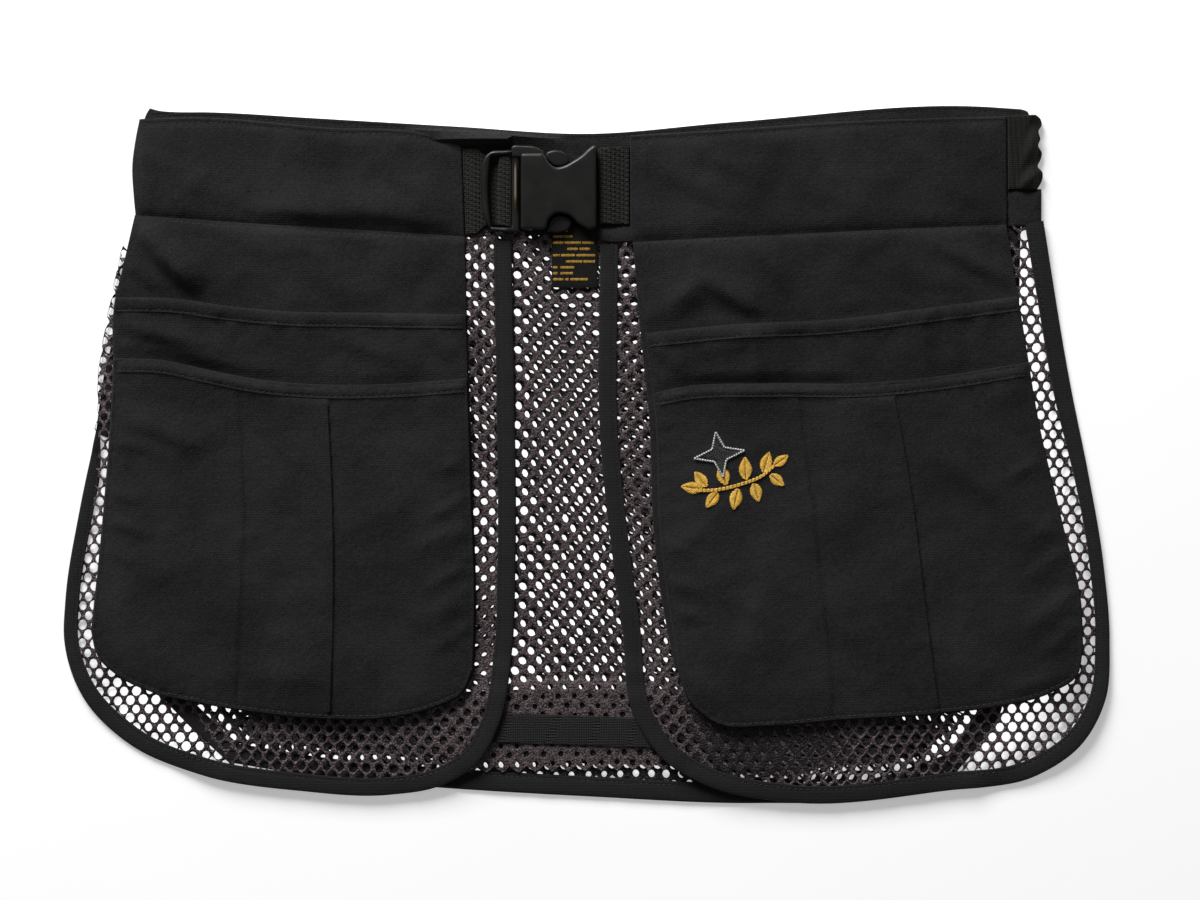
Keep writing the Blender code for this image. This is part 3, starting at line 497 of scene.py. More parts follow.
class Look:
    """A Principled material. Its place is the object's own coordinates, in metres."""

    def __init__(self, name, colour, roughness, specular):
        self.material = bpy.data.materials.new(name)
        self.material.use_nodes = True
        self.tree = self.material.node_tree
        self.shader = self.tree.nodes["Principled BSDF"].inputs
        self.shader["Base Color"].default_value = (*colour, 1.0)
        self.shader["Roughness"].default_value = roughness
        self.shader["Specular IOR Level"].default_value = specular
        self.place = self.tree.nodes.new("ShaderNodeTexCoord").outputs["Object"]

    def texture(self, kind, settings):
        """The value of a texture node at the place."""
        node = self.tree.nodes.new(kind)
        for name, value in settings.items():
            node.inputs[name].default_value = value
        self.tree.links.new(self.place, node.inputs["Vector"])
        return node, Value(self.tree, node.outputs["Fac"])

    def noise(self, scale, detail=3.0):
        """A noise texture's value."""
        return self.texture("ShaderNodeTexNoise", {"Scale": scale, "Detail": detail})[1]

    def wave(self, period, direction, distortion):
        """A wave texture's value, with its period in metres."""
        node, value = self.texture("ShaderNodeTexWave", {
            "Scale": 2.0 * math.pi / 20.0 / period, "Distortion": distortion, "Detail": 1.0})
        node.bands_direction = direction
        return value

    def axes(self):
        """The place's X, Y and Z."""
        split = self.tree.nodes.new("ShaderNodeSeparateXYZ")
        self.tree.links.new(self.place, split.inputs[0])
        return [Value(self.tree, socket) for socket in split.outputs]

    def vary(self, value, dark, light, low=0.3, high=0.7):
        """Base colour between dark and light as the value goes from low to high."""
        ramp = self.tree.nodes.new("ShaderNodeValToRGB")
        for element, position, colour in zip(ramp.color_ramp.elements, (low, high), (dark, light)):
            element.position, element.color = position, (*colour, 1.0)
        self.tree.links.new(value.socket, ramp.inputs["Fac"])
        self.tree.links.new(ramp.outputs["Color"], self.shader["Base Color"])

    def bump(self, value, strength, distance):
        """Small relief from a value, with its depth in metres."""
        node = self.tree.nodes.new("ShaderNodeBump")
        node.inputs["Strength"].default_value = strength
        node.inputs["Distance"].default_value = distance
        self.tree.links.new(value.socket, node.inputs["Height"])
        self.tree.links.new(node.outputs["Normal"], self.shader["Normal"])


def cloth_material(name, dark, light, period):
    """Matte woven cotton: a fine twill, a little lint and slow changes of shade."""
    look = Look(name, light, 0.92, 0.16)
    weave = look.wave(period, "DIAGONAL", 1.2) * look.wave(period * 1.3, "Y", 0.8)
    lint, rubbed = look.noise(900.0, 2.0), look.noise(260.0, 4.0)
    look.bump(weave * 0.55 + lint * 1.6 + rubbed * 2.0, 0.6, 0.0003)
    look.vary(look.noise(26.0, 4.0) * 0.5 + look.noise(700.0) * 0.5, dark, light, 0.38, 0.62)
    look.shader["Sheen Weight"].default_value = 0.05
    return look.material


def tape_material(name, dark, light, period):
    """Ribbed narrow weave, as in bias tape and webbing."""
    look = Look(name, light, 0.8, 0.2)
    relief = (look.wave(period, "Y", 0.6) * look.wave(period * 0.9, "X", 0.6)
              + look.noise(1100.0, 2.0))
    look.bump(relief, 0.6, 0.0003)
    look.vary(relief, dark, light, 0.5, 1.5)
    look.shader["Sheen Weight"].default_value = 0.04
    return look.material


def net_material(name, painted_shade_from=None):
    """Brown-black knitted polyester, with painted glints on its bundled filaments here and there."""
    look = Look(name, (0.016, 0.012, 0.0125), 0.5, 0.35)
    look.bump(look.noise(900.0, 4.0), 1.0, 0.0009)
    # Painted shade: yarn that lies low, or past a distance from the middle, lies under other layers, so
    # it is drawn darker and with fewer of the painted glints
    x, _, z = look.axes()
    painted_glint_and_shade = look.noise(1150.0) - (0.14 - ((z - 0.0007) * 80.0).within(0.0, 0.16))
    if painted_shade_from is not None:
        painted_glint_and_shade = painted_glint_and_shade - ((abs(x + 0.015) - painted_shade_from) * 18.0).within(0.0, 0.2)
    look.vary(painted_glint_and_shade, (0.0085, 0.006, 0.0064), (0.19, 0.137, 0.147), 0.42, 0.72)
    return look.material


def thread_material(name, dark, light, roughness, specular):
    """Twisted sewing or embroidery thread."""
    look = Look(name, light, roughness, specular)
    look.bump(look.wave(0.0005, "DIAGONAL", 0.5), 0.5, 0.0001)
    look.vary(look.noise(700.0), dark, light)
    return look.material


def plastic_material(name, roughness, specular):
    """Moulded black acetal with a very fine grain and faint handling wear."""
    look = Look(name, (0.012, 0.012, 0.0115), roughness, specular)
    look.bump(look.noise(2600.0, 2.0), 0.25, 0.00006)
    wear = look.noise(90.0, 4.0)
    look.vary(wear, (0.0095, 0.0095, 0.0092), (0.0155, 0.0155, 0.0146))
    rough = wear * 0.16 + (roughness - 0.08)
    look.tree.links.new(rough.socket, look.shader["Roughness"])
    return look.material


def bar_material():
    """The cross bar: a painted pale highlight along its middle, turning to a painted brown reflection
    towards its ends.
    """
    look = Look("buckle_bar_plastic", (0.3, 0.28, 0.2), 0.34, 0.45)
    _, y, _ = look.axes()
    look.vary(abs(y - 0.1435) / 0.0125, (0.17, 0.155, 0.11), (0.075, 0.034, 0.004), 0.5, 0.8)
    return look.material


CLOTH_COLOUR = cloth_material("cotton_cloth", (0.0105, 0.0102, 0.0103), (0.0225, 0.0218, 0.022),
                              0.00095)
BINDING_COLOUR = tape_material("bias_tape", (0.011, 0.011, 0.0112), (0.0205, 0.0205, 0.0208), 0.0008)
WEBBING_COLOUR = tape_material("webbing_weave", (0.006, 0.006, 0.005), (0.031, 0.0302, 0.0245), 0.0011)
GATHERED_COLOUR = tape_material("gathered_weave", (0.004, 0.004, 0.0034), (0.0195, 0.019, 0.0155),
                                0.0011)
ELASTIC_COLOUR = tape_material("elastic_weave", (0.009, 0.009, 0.0092), (0.03, 0.0295, 0.03), 0.0013)
NET_COLOUR = net_material("net_yarn")
POUCH_NET_COLOUR = net_material("pouch_net_yarn", 0.055)
SEWING_THREAD = thread_material("sewing_thread", (0.012,) * 3, (0.024,) * 3, 0.6, 0.4)
GOLD_THREAD = thread_material("gold_thread", (0.72, 0.40, 0.06), (0.98, 0.66, 0.13), 0.42, 0.5)
PALE_THREAD = thread_material("pale_thread", (0.5, 0.5, 0.48), (0.78, 0.78, 0.76), 0.5, 0.4)
BLACK_THREAD = thread_material("black_thread", (0.006,) * 3, (0.014,) * 3, 0.45, 0.5)
LABEL_COLOUR = cloth_material("label_satin", (0.007, 0.007, 0.006), (0.013, 0.0125, 0.011), 0.0005)
LABEL_THREAD = thread_material("label_thread", (0.36, 0.2, 0.025), (0.66, 0.42, 0.085), 0.5, 0.4)
PLASTIC = plastic_material("buckle_plastic", 0.34, 0.36)
BAR_PLASTIC = bar_material()


# Meshes
def add_piece(name, vertices, faces, material, sharp_angle=40.0):
    """Make a smooth-shaded piece of the vest from points in millimetres."""
    mesh = bpy.data.meshes.new(name)
    mesh.from_pydata((np.asarray(vertices, float) * MM).tolist(), [], faces)
    mesh.update()
    mesh.shade_smooth()
    mesh.set_sharp_from_angle(angle=math.radians(sharp_angle))
    mesh.materials.append(material)
    piece = bpy.data.objects.new(name, mesh)
    bpy.context.scene.collection.objects.link(piece)
    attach(piece, "root")
    return piece


def declare(node):
    """Hide the solid that a piece stands for."""
    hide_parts(node)


def inside_runs(line, outline, margin):
    """The stretches of a line that lie inside an outline and clear of its edge."""
    is_kept = depth_in(line, outline) > margin
    cuts = np.flatnonzero(np.diff(is_kept)) + 1
    runs = zip(np.split(line, cuts), np.split(is_kept, cuts))
    return [run for run, kept in runs if kept[0] and len(run) > 2]


def lattice(outline, spacing, lines):
    """Points of a triangular lattice inside an outline and clear of its edge and the lines."""
    low, high = outline.min(axis=0), outline.max(axis=0)
    row_height = spacing * 0.866
    rows = []
    for index in range(int((high[1] - low[1]) / row_height) + 1):
        x = np.arange(low[0] + spacing * 0.5 * (index % 2), high[0], spacing)
        rows.append(np.stack([x, np.full(len(x), low[1] + (index + 0.5) * row_height)], axis=1))
    points = np.vstack(rows)
    keep = depth_in(points, outline) > spacing * 0.5
    for line in lines:
        keep &= gap_to(points, line)[0] > spacing * 0.45
    return points[keep]


def border(loops):
    """The edges of faces that have no neighbour, each in its face's direction."""
    directed = {(loop[index - 1], loop[index]) for loop in loops for index in range(len(loop))}
    return sorted((start, end) for start, end in directed if (end, start) not in directed)


def add_sheet(name, outline, low, high, material=CLOTH_COLOUR, spacing=CLOTH_STEP,
              lines=(), holes=(), rim=0.6, rim_steps=(0.12, 0.4, 0.8), sharp_angle=40.0):
    """A thin closed sheet between two surfaces, with a rounded upper edge of radius rim.

    The lines are creases that the mesh follows, and the holes are cut through.
    """
    fixed = [looped(inset(outline, rim * share)) for share in rim_steps]
    fixed += [looped(inset(hole, -rim * share)) for hole in holes for share in rim_steps]
    fixed += [looped(hole) for hole in holes]
    fixed += [run for line in lines for run in inside_runs(line, outline, rim + 0.6)]
    inner = lattice(inset(outline, rim), spacing, fixed[len(rim_steps) - 1:])
    places = [Vector(place) for place in outline]
    edges = [(index, (index + 1) % len(outline)) for index in range(len(outline))]
    for line in fixed:
        first = len(places)
        places += [Vector(place) for place in line]
        edges += [(first + index, first + index + 1) for index in range(len(line) - 1)]
    places += [Vector(place) for place in inner]
    result = delaunay_2d_cdt(places, edges, [], 0, 0.002, False)
    points = np.array([tuple(place) for place in result[0]])
    triangles = np.array(result[2])

    def depth(spots):
        depths = [depth_in(spots, outline)] + [-depth_in(spots, hole) for hole in holes]
        return np.min(depths, axis=0)

    triangles = triangles[depth(points[triangles].mean(axis=1)) > 0.0]
    corners = points[triangles]
    first_side, second_side = corners[:, 1] - corners[:, 0], corners[:, 2] - corners[:, 0]
    is_turned = first_side[:, 0] * second_side[:, 1] < first_side[:, 1] * second_side[:, 0]
    triangles[is_turned] = triangles[is_turned][:, ::-1]
    used = np.unique(triangles)
    points, triangles = points[used], np.searchsorted(used, triangles)
    share = np.clip(depth(points) / rim, 0.0, 1.0)
    rounding = rim * (1.0 - np.sqrt(1.0 - (1.0 - share) ** 2))
    bottom = low(points)
    top = np.maximum(high(points) - rounding, bottom + 0.15)
    count = len(points)
    vertices = np.vstack([np.column_stack([points, bottom]), np.column_stack([points, top])])
    faces = (triangles + count).tolist() + triangles[:, ::-1].tolist()
    faces += [(start, end, end + count, start + count) for start, end in border(triangles.tolist())]
    return add_piece(name, vertices, faces, material, sharp_angle)


def loft_faces(first, stations, sides):
    """Faces of a closed skin over rings of points, which are counted from the first one."""
    last = first + (stations - 1) * sides
    faces = [tuple(range(first, first + sides))[::-1], tuple(range(last, last + sides))]
    for ring in range(first, last, sides):
        for side in range(sides):
            here, other = ring + side, ring + (side + 1) % sides
            faces.append((here, other, other + sides, here + sides))
    return faces


def add_loft(name, rings, material, sharp_angle=50.0):
    """A closed skin over rings of equal count, one after another."""
    faces = loft_faces(0, len(rings), len(rings[0]))
    return add_piece(name, np.vstack(rings), faces, material, sharp_angle)


# Section of a tape folded over an edge: share of the way from its outer edge to its inner one,
# and share of its height. The cloth goes round the outer edge, with a slot between its halves.
TAPE_SECTION = [(1, 0), (0.06, 0), (0, 0.2), (0, 0.62), (0.03, 0.88), (0.1, 1), (0.3, 1.03),
                (0.6, 0.98), (0.76, 0.92), (0.8, 0.85), (0.84, 0.91), (0.94, 0.92), (0.99, 0.84),
                (1, 0.66), (0.8, 0.62), (0.5, 0.7), (0.12, 0.68), (0.07, 0.5), (0.12, 0.24),
                (1, 0.24)]


def add_tape(name, outer, inner, low):
    """A bias tape folded over an edge, with the dent of its stitch row near its inner side."""
    index = np.arange(len(outer))
    wobble = 1.0 + 0.05 * np.sin(index * 0.9) * np.sin(index * 0.23)
    share, rise = np.array(TAPE_SECTION, float).T[:, :, None]
    # The tape's place and its height above the surface, as one table of points
    edges = [np.column_stack([edge, low(edge)]) for edge in (outer, inner)]
    rings = edges[0][:, None] * (1.0 - share) + edges[1][:, None] * share
    rings[:, :, 2] += BINDING * rise[:, 0] * wobble[:, None]
    ahead, across = outer[1] - outer[0], inner[0] - outer[0]
    if ahead[0] * across[1] > ahead[1] * across[0]:
        rings = rings[:, ::-1]
    return add_loft(name, rings, BINDING_COLOUR)


def resampled(path, step):
    """The path with its points evenly spaced, about one step apart."""
    lengths = np.concatenate([[0.0], np.cumsum(np.linalg.norm(np.diff(path, axis=0), axis=1))])
    places = np.linspace(0.0, lengths[-1], max(2, int(round(lengths[-1] / step)) + 1))
    return np.column_stack([np.interp(places, lengths, path[:, axis]) for axis in (0, 1)])


# Section of a thread at each of its four rings: share of its length, size and sink
THREAD_RINGS = [(0.0, 0.25, -0.6), (0.22, 0.95, 0.1), (0.78, 0.95, 0.1), (1.0, 0.25, -0.6)]


def add_threads(name, groups, material):
    """One piece of short threads on surfaces. Each group is (starts, ends, surface, radius)."""
    vertices = []
    for starts, ends, surface, radius in groups:
        side = normals(ends - starts)
        centres = [starts + (ends - starts) * along for along, _, _ in THREAD_RINGS]
        heights = surface(np.vstack(centres)).reshape(len(centres), -1)
        corners = []
        for (_, size, sink), centre, height in zip(THREAD_RINGS, centres, heights):
            for across, up in ((1.0, 0.0), (0.0, 1.0), (-1.0, 0.0), (0.0, -1.0)):
                corners.append(np.column_stack([centre + side * (across * size * radius),
                                                height + radius * (sink + up * size)]))
        vertices.append(np.stack(corners, axis=1).reshape(-1, 3))
    vertices = np.vstack(vertices)
    faces = [face for first in range(0, len(vertices), 16) for face in loft_faces(first, 4, 4)]
    return add_piece(name, vertices, faces, material)


def add_stitches(name, rows, material, length=2.3, gap=0.8, radius=0.24):
    """One piece of all the stitch rows. Each row is (path, surface)."""
    groups = []
    for path, surface in rows:
        points = resampled(path, length + gap)
        starts, spans = points[:-1], np.diff(points, axis=0)
        groups.append((starts, starts + spans * length / (length + gap), surface, radius))
    return add_threads(name, groups, material)


def add_net(name, outline, low, bend, reach, is_within=None, closing=None):
    """A net of staggered oval holes. Cells are kept whose centre is within reach outside.

    Closing tells how far the holes at a place are drawn shut, from 0 to 1.
    """
    pitch = np.array([HOLE_PITCH, ROW_PITCH])
    margin = np.array([75.0, 14.0])
    first = ((outline.min(axis=0) - margin) // pitch).astype(int)
    last = ((outline.max(axis=0) + margin) // pitch).astype(int)
    columns, rows = np.meshgrid(np.arange(first[0], last[0] + 1), np.arange(first[1], last[1] + 1))
    centres = np.column_stack([(columns + 0.5 * (rows % 2)).ravel(), rows.ravel()]) * pitch
    placed = bend(centres)
    stretch = (bend(centres + (2.0, 0.0)) - bend(centres - (2.0, 0.0)))[:, 0] / 4.0
    keep = (depth_in(placed, outline) > -reach) & (stretch > 0.12)
    if is_within is not None:
        keep &= is_within(placed)
    centres, placed, stretch = centres[keep], placed[keep], stretch[keep]
    random = np.random.default_rng(len(name))
    openness = random.uniform(0.86, 1.1, (len(centres), 1))
    if closing is not None:
        openness *= 1.0 - closing(placed)[:, None]
    slips = random.normal(0.0, 0.16, (len(centres), 1, 2))
    widths = HOLE_HALF_WIDTH / np.clip(stretch, 0.72, 1.15)
    # Each cell is a hexagon with a point halfway along every side, and its hole has as many
    half = HOLE_PITCH / 2.0
    tip = (half * half + ROW_PITCH * ROW_PITCH) / (2.0 * ROW_PITCH)
    side = tip - half * half / ROW_PITCH
    hexagon = np.array([(half, -side), (half, side), (0.0, tip), (-half, side), (-half, -side),
                        (0.0, -tip)])
    cell = np.stack([hexagon, (hexagon + np.roll(hexagon, -1, axis=0)) / 2.0], axis=1)
    cell = cell.reshape(-1, 2)
    angles = np.arctan2(cell[:, 1], cell[:, 0])
    hole = np.stack([np.cos(angles) * widths[:, None] * openness,
                     np.sin(angles) * HOLE_HALF_HEIGHT * openness], axis=2)
    corners, outer = np.unique(np.round((centres[:, None, :] + cell).reshape(-1, 2), 2), axis=0,
                               return_inverse=True)
    outer = outer.reshape(-1, len(cell))
    count = len(corners)
    inner = np.arange(2 * count, 2 * count + outer.size).reshape(-1, len(cell))
    outer_places = bend(corners)
    inner_places = bend((centres[:, None, :] + hole + slips).reshape(-1, 2))
    outer_level, inner_level = low(outer_places) + NET * 0.5, low(inner_places) + NET * 0.5
    knot = 1.0 + 0.3 * (np.abs(np.mod(corners[:, 0] / half, 1.0) - 0.5) > 0.45)
    vertices = np.vstack([np.column_stack([outer_places, outer_level + STRAND_HIGH * knot]),
                          np.column_stack([outer_places, outer_level - STRAND_HIGH]),
                          np.column_stack([inner_places, inner_level])])
    outer_next, inner_next = np.roll(outer, -1, axis=1), np.roll(inner, -1, axis=1)
    top = np.stack([outer, outer_next, inner_next, inner], axis=2).reshape(-1, 4)
    bottom = np.stack([outer_next + count, outer + count, inner, inner_next], axis=2)
    faces = top.tolist() + bottom.reshape(-1, 4).tolist()
    faces += [(start, start + count, end + count, end) for start, end in border(outer.tolist())]
    colour = POUCH_NET_COLOUR if name == "pouch_inner_net" else NET_COLOUR
    return add_piece(name, vertices, faces, colour, 60.0)


def bend_of(height, seed):
    """Places moved so that a net isn't ruled, and its columns are closer near the sides."""
    def bend(points):
        x, y = points[:, 0], points[:, 1]
        beyond = np.maximum(np.abs(x) - 60.0, 0.0)
        drawn = 0.19 * np.where(beyond < 80.0, beyond**2 / 160.0, beyond - 40.0)
        across = (np.sin(y / 41.0 + seed) + 0.5 * np.sin(x / 31.0 + 2.0 * seed)
                  + 0.35 * np.sin(x / 13.0 + y / 9.0 + seed))
        up = (np.sin(x / 53.0 + 1.7 * seed) + 0.4 * np.sin(y / 27.0 + seed)
              + 0.25 * np.sin(x / 11.0 - y / 14.0 + seed))
        return points + np.column_stack([across * height - np.sign(x) * drawn, up * height])
    return bend


back_bend = bend_of(0.9, 0.4)


def pouch_bend(points):
    """The inner net's places: nearly over the outer net's holes, and well off them higher up."""
    places = back_bend(points)
    x, y = places[:, 0], places[:, 1]
    side = ease(x, -40.0, 15.0)
    rise = ease(y, -20.0, 110.0) * side
    drift = 0.3 * np.sin(x / 37.0) + 0.3 * np.sin(y / 31.0 + 1.0)
    return places + np.column_stack([0.9 + 1.3 * side + 1.5 * rise + drift,
                                     0.7 + 0.7 * side + 0.9 * rise - 0.6 * drift])


def drawn_shut(line, share, distance):
    """Closes a net's holes by a share at a line that holds it, and less below it."""
    return lambda places: share * (1.0 - smooth(-above(places, line) / distance))


def tucked(bend, fold):
    """The bend, with all that lies beyond a folded edge pressed up against it."""
    order = np.argsort(fold[:, 1])

    def bend_and_tuck(points):
        places = bend(points)
        limit = np.interp(places[:, 1], fold[order, 1], fold[order, 0])
        is_beyond = (places[:, 0] < limit) & (places[:, 1] > fold[:, 1].min() - 2.0)
        over = np.where(is_beyond, limit - places[:, 0], 0.0)
        places[:, 0] += over - 0.6 * np.tanh(over / 4.0)
        return places
    return bend_and_tuck


stitch_rows = []


# Back
def add_back():
    """The outer net with its bound edge, and what lies on it inside the vest."""
    names = ("right", "right_corner", "hem", "left_corner", "left")
    bound = np.vstack([curve(BACK_EDGES[name])[:-1] for name in names] + [BACK_EDGES["left"][-1:]])
    tape = add_tape("back_bias_tape", bound, beside(bound, -BACK_BINDING), flat(0.0))
    declare("back_binding")
    stitch_rows.append((beside(bound, -BACK_BINDING * 0.8), flat(BINDING * 0.86)))

    panel_edge = beside(bound, -BACK_BINDING - SEAM)[::3]
    waist = curve(BACK_WAISTBAND_EDGES["bottom"], 20.0)
    is_between = (waist[:, 0] > panel_edge[-1, 0] + 1.0) & (waist[:, 0] < panel_edge[0, 0] - 1.0)
    panel = np.vstack([panel_edge, waist[is_between] + (0.0, SEAM)])[::-1]
    hem = beside(curve(BACK_EDGES["hem"], 10.0), -BACK_BINDING)[::-1]
    at_waist = drawn_shut(waist, 0.62, 12.0)

    def back_closing(places):
        return np.maximum(at_waist(places), 0.3 * (1.0 - smooth(above(places, hem) / 8.0)))

    net = add_net("back_net", panel, flat(0.0), back_bend, 2.8, closing=back_closing)
    declare("back_panel")

    strip = add_sheet("pouch_base_cloth", outline_of(STRIP_EDGES), flat(POUCH_LOW),
                      lambda points: POUCH_LOW + CLOTH + ripple(points, 0.1, 3), spacing=6.0)
    declare("pouch_strip")

    def pouch_low(points):
        rise = (POUCH_OVER_STRIP - POUCH_LOW) * near(points, strip_outline, 1.1, 7.9)
        return POUCH_LOW + rise + 0.25 + ripple(points, 0.25, 1)

    def pouch_closing(places):
        return np.maximum(at_waist(places), 0.38 * near(places, strip_outline, 1.1, 7.9))

    pouch = add_net("pouch_inner_net", outline_of(POUCH_EDGES, 8.0), pouch_low, pouch_bend, 2.4,
                    closing=pouch_closing)
    declare("pouch_net")

    tape_low = POUCH_OVER_STRIP + NET + SEAM
    ribs = 10

    def ribbed(points):
        across = (points[:, 1] - np.interp(points[:, 0], tape_centre[:, 0], tape_centre[:, 1]))
        rib = np.abs(np.sin((across / TAPE_HALF + 1.0) * 0.5 * np.pi * ribs))
        return tape_low + 0.55 + 0.35 * rib

    elastic = add_sheet("pouch_ribbed_tape", tape_outline, flat(tape_low), ribbed, ELASTIC_COLOUR,
                        spacing=0.9, rim=0.3)
    declare("pouch_tape")


# Label rows from the top: height of the row, then the start and end of each run of strokes
LABEL_ROWS = [(118.6, (-17, -9.6)), (115.3, (-17.4, -13), (-12, -7.4)),
              (112, (-17.4, -12.2), (-11.2, -3), (-2, 3.6)), (108.7, (-9.8, -4.4), (-3.4, 2)),
              (105.3, (-17.4, -14.2), (-13.2, -6), (-5, 4.8)), (102, (-10.6, -2.4), (-1.4, 4.8)),
              (98.9, (-17.4, -15), (-13.6, -6.4)), (95.8, (-17.4, -15), (-13.6, -6.8)),
              (92.6, (-17.4, -12.4), (-11, -9.6), (-8.2, 0.6))]


def add_label():
    """The care label, with rows of plain woven strokes in place of its text."""
    low = POUCH_LOW + NET + SEAM + 0.5
    outline = outline_of(closed(bottom=[(-6, 88), (5.9, 88.3)], right=[(5.9, 121)],
                                top=[(-18.3, 121)], left=[(-18.3, 88.4)]), 2.0)

    def surface(points):
        return low + 0.4 + 0.35 * np.sin((points[:, 0] + 18.0) / 24.0 * np.pi)

    label = add_sheet("care_label_satin", outline, flat(low), surface, LABEL_COLOUR,
                      spacing=1.5, rim=0.2)
    declare("care_label")
    strokes = []
    for height, *runs in LABEL_ROWS:
        for start, end in runs:
            for index, x in enumerate(np.arange(start, end, 0.62)):
                reach = 1.05 - 0.3 * abs(math.sin(index * 2.3 + height))
                strokes.append([(x, height - reach), (x + 0.12, height + reach)])
    starts, ends = np.array(strokes).swapaxes(0, 1)
    add_threads("care_label_marks", [(starts, ends, surface, 0.3)], LABEL_THREAD)


# Waistband
def add_waistband():
    """The waistband round the back, and its two front ends."""
    outline = outline_of(BACK_WAISTBAND_EDGES)
    top_stitch = curve(BACK_WAISTBAND_EDGES["top"])[::-1] - (0.0, 2.6)

    def back_high(points):
        x, y = points[:, 0], points[:, 1]
        ridge = folds(points, [(-92.0, 168.4, -16.0, 164.4, 5.0, 4.0, 1.7)])
        # Raised to the layers beside it below the right webbing and at the right end
        raised = (2.6 * ease(x, 4.0, 3.0) * ease(x, 27.0, -3.0) * ease(y, 120.6, -2.5)
                  + 2.3 * ease(x, 222.6, 1.5) * ease(x, 241.5, -2.5) * ease(y, 140.4, -1.6))
        return (WAISTBAND + 0.25 + raised + ripple(points, 0.15, 5)
                + ridge * smooth(depth_in(points, outline) / 2.5)
                - groove(points, top_stitch, 0.35, 0.7))

    back = add_sheet("back_waistband_cloth", outline, flat(0.0), back_high, spacing=4.0,
                     lines=stitch_lines(top_stitch, 0.7), rim=0.9)
    declare("back_waistband")
    stitch_rows.append((top_stitch[2:-2], back_high))
    add_front_band("left", -235.4, 0.9, (-190.0, -62.0), 2.3)
    add_front_band("right", -999.0, 0.7, (20.0, 110.0), 0.7)


def add_front_band(side, fold_x, loft, bulge_span, bulge_high):
    """A front waistband: a long soft tube of cloth. Its lower edge lies under the front's."""
    name = side + "_waistband_cloth"
    edges = WAISTBAND_EDGES[side]
    outline = outline_of(edges)
    seam = curve(edges["bottom"])
    outline[above(outline, seam) < 0.5] -= (0.0, 2.2)
    top_stitch = curve(edges["top"])[::-1] - (0.0, 2.7)

    def high(points):
        depth, up = depth_in(points, outline), above(points, seam)
        along = (points[:, 0] - bulge_span[0]) / (bulge_span[1] - bulge_span[0])
        swell = smooth(along * 2.5) * smooth((1.0 - along) * 2.5)
        bulge = (0.3 * smooth(up / 6.0) + bulge_high * swell * ease(up, 3.0, 6.0)
                 ) * ease(up, 32.0, -22.0)
        sunk = (0.35 + 0.1 * bulge_high) * (1.0 - ease(up, 0.6, 2.0))
        turned = 1.8 * ease(points[:, 0], fold_x + 2.0, -7.0)
        wrinkled = folds(points, BAND_FOLDS[side]) + crumple(points, 0.75, 9.0, len(name))
        drawn = (pucker(points, top_stitch, 0.16, 5.0, 6.5)
                 + pucker(points, seam, 0.34, 7.0, 8.0) * smooth(up / 3.0))
        return (BAND_HIGH + (loft + wrinkled) * smooth(depth / 9.0) + bulge - sunk - turned
                + drawn * smooth(depth / 2.0) - groove(points, top_stitch, 0.45, 0.8))

    lines = stitch_lines(top_stitch, 0.8) + [seam + (0.0, shift) for shift in (0.6, 1.8, 3.2)]
    if side == "left":
        lines += upright_lines((fold_x + 0.05, fold_x - 0.35), np.arange(127.5, 176.0, EDGE_STEP))
    band = add_sheet(name, outline, lambda points: np.where(points[:, 0] > fold_x, BAND_LOW, 0.1),
                     high, lines=lines, rim=1.0, rim_steps=(0.08, 0.25, 0.55, 1.0))
    declare(side + "_waistband")
    stitch_rows.append((top_stitch[1:-1], high))


def upright_lines(places, heights):
    """Lines up the vest, at each place across it."""
    return [np.column_stack([np.full(len(heights), x), heights]) for x in places]


# Fronts
def binding_widths(path, outer_share, inner_share):
    """Binding widths along a path: narrow at the outer edge, wider at the hem and inner edge."""
    share = np.linspace(0.0, 1.0, len(path))
    return (OUTER_BINDING + (HEM_BINDING - OUTER_BINDING) * ease(share, outer_share - 0.06, 0.12)
            + (INNER_BINDING - HEM_BINDING) * ease(share, inner_share - 0.06, 0.12))


def add_binding(side, bound, widths, lift):
    """A front's bound edge."""
    def rest(points):
        return front_rest(points) + lift(points)

    tape = add_tape(side + "_bias_tape", bound, beside(bound, widths), rest)
    declare(side + "_binding")
    first = 6 if side == "left" else 0
    stitch_rows.append((beside(bound, widths * 0.8)[first:],
                        lambda points: rest(points) + BINDING * 0.86))


def clear_of_seam(waist):
    """Tells which places lie well below the waist seam, or beside the cloth that it holds."""
    def is_within(places):
        x, up = places[:, 0], above(places, waist)
        is_beside = ((x < waist[:, 0].min() - 1.0) & (up < -1.5)) | (x > waist[:, 0].max() + 3.0)
        is_at_fold = (x < -230.0) & (up > -12.0)
        is_under_cloth = (np.abs(x + 236.5) < 7.5) & (up > -36.0)
        return (is_beside | (up < -6.0)) & ~is_at_fold & ~is_under_cloth
    return is_within


def mouth_dip(points, side):
    """How far the cloth behind a lower pocket's mouth falls away under its gaping edge."""
    up = above(points, curve(WELTS[side + "_lower"], 6.0))
    level = np.column_stack([points[:, 0], np.zeros(len(points))])
    return dips(level, MOUTHS[side]) * (1.0 - smooth(up / 4.5))


def add_front(side, net_edge, bend, lift, net_seed, cloth_seed, pocket_edges):
    """A front's net, the cloth behind its pockets, and the pockets."""
    waist = curve(WAISTBAND_EDGES[side]["bottom"])
    upper_welt, lower_welt = curve(WELTS[side + "_upper"]), curve(WELTS[side + "_lower"])
    add_front_net(side, net_edge, waist, bend, lift, net_seed)
    add_yoke(side, upper_welt, waist, cloth_seed)
    add_upper_pocket(side, pocket_outline(pocket_edges, upper_welt, 0.5), upper_welt, lower_welt)
    return add_lower_pocket(side, pocket_outline(pocket_edges, lower_welt, 0.9), lower_welt)


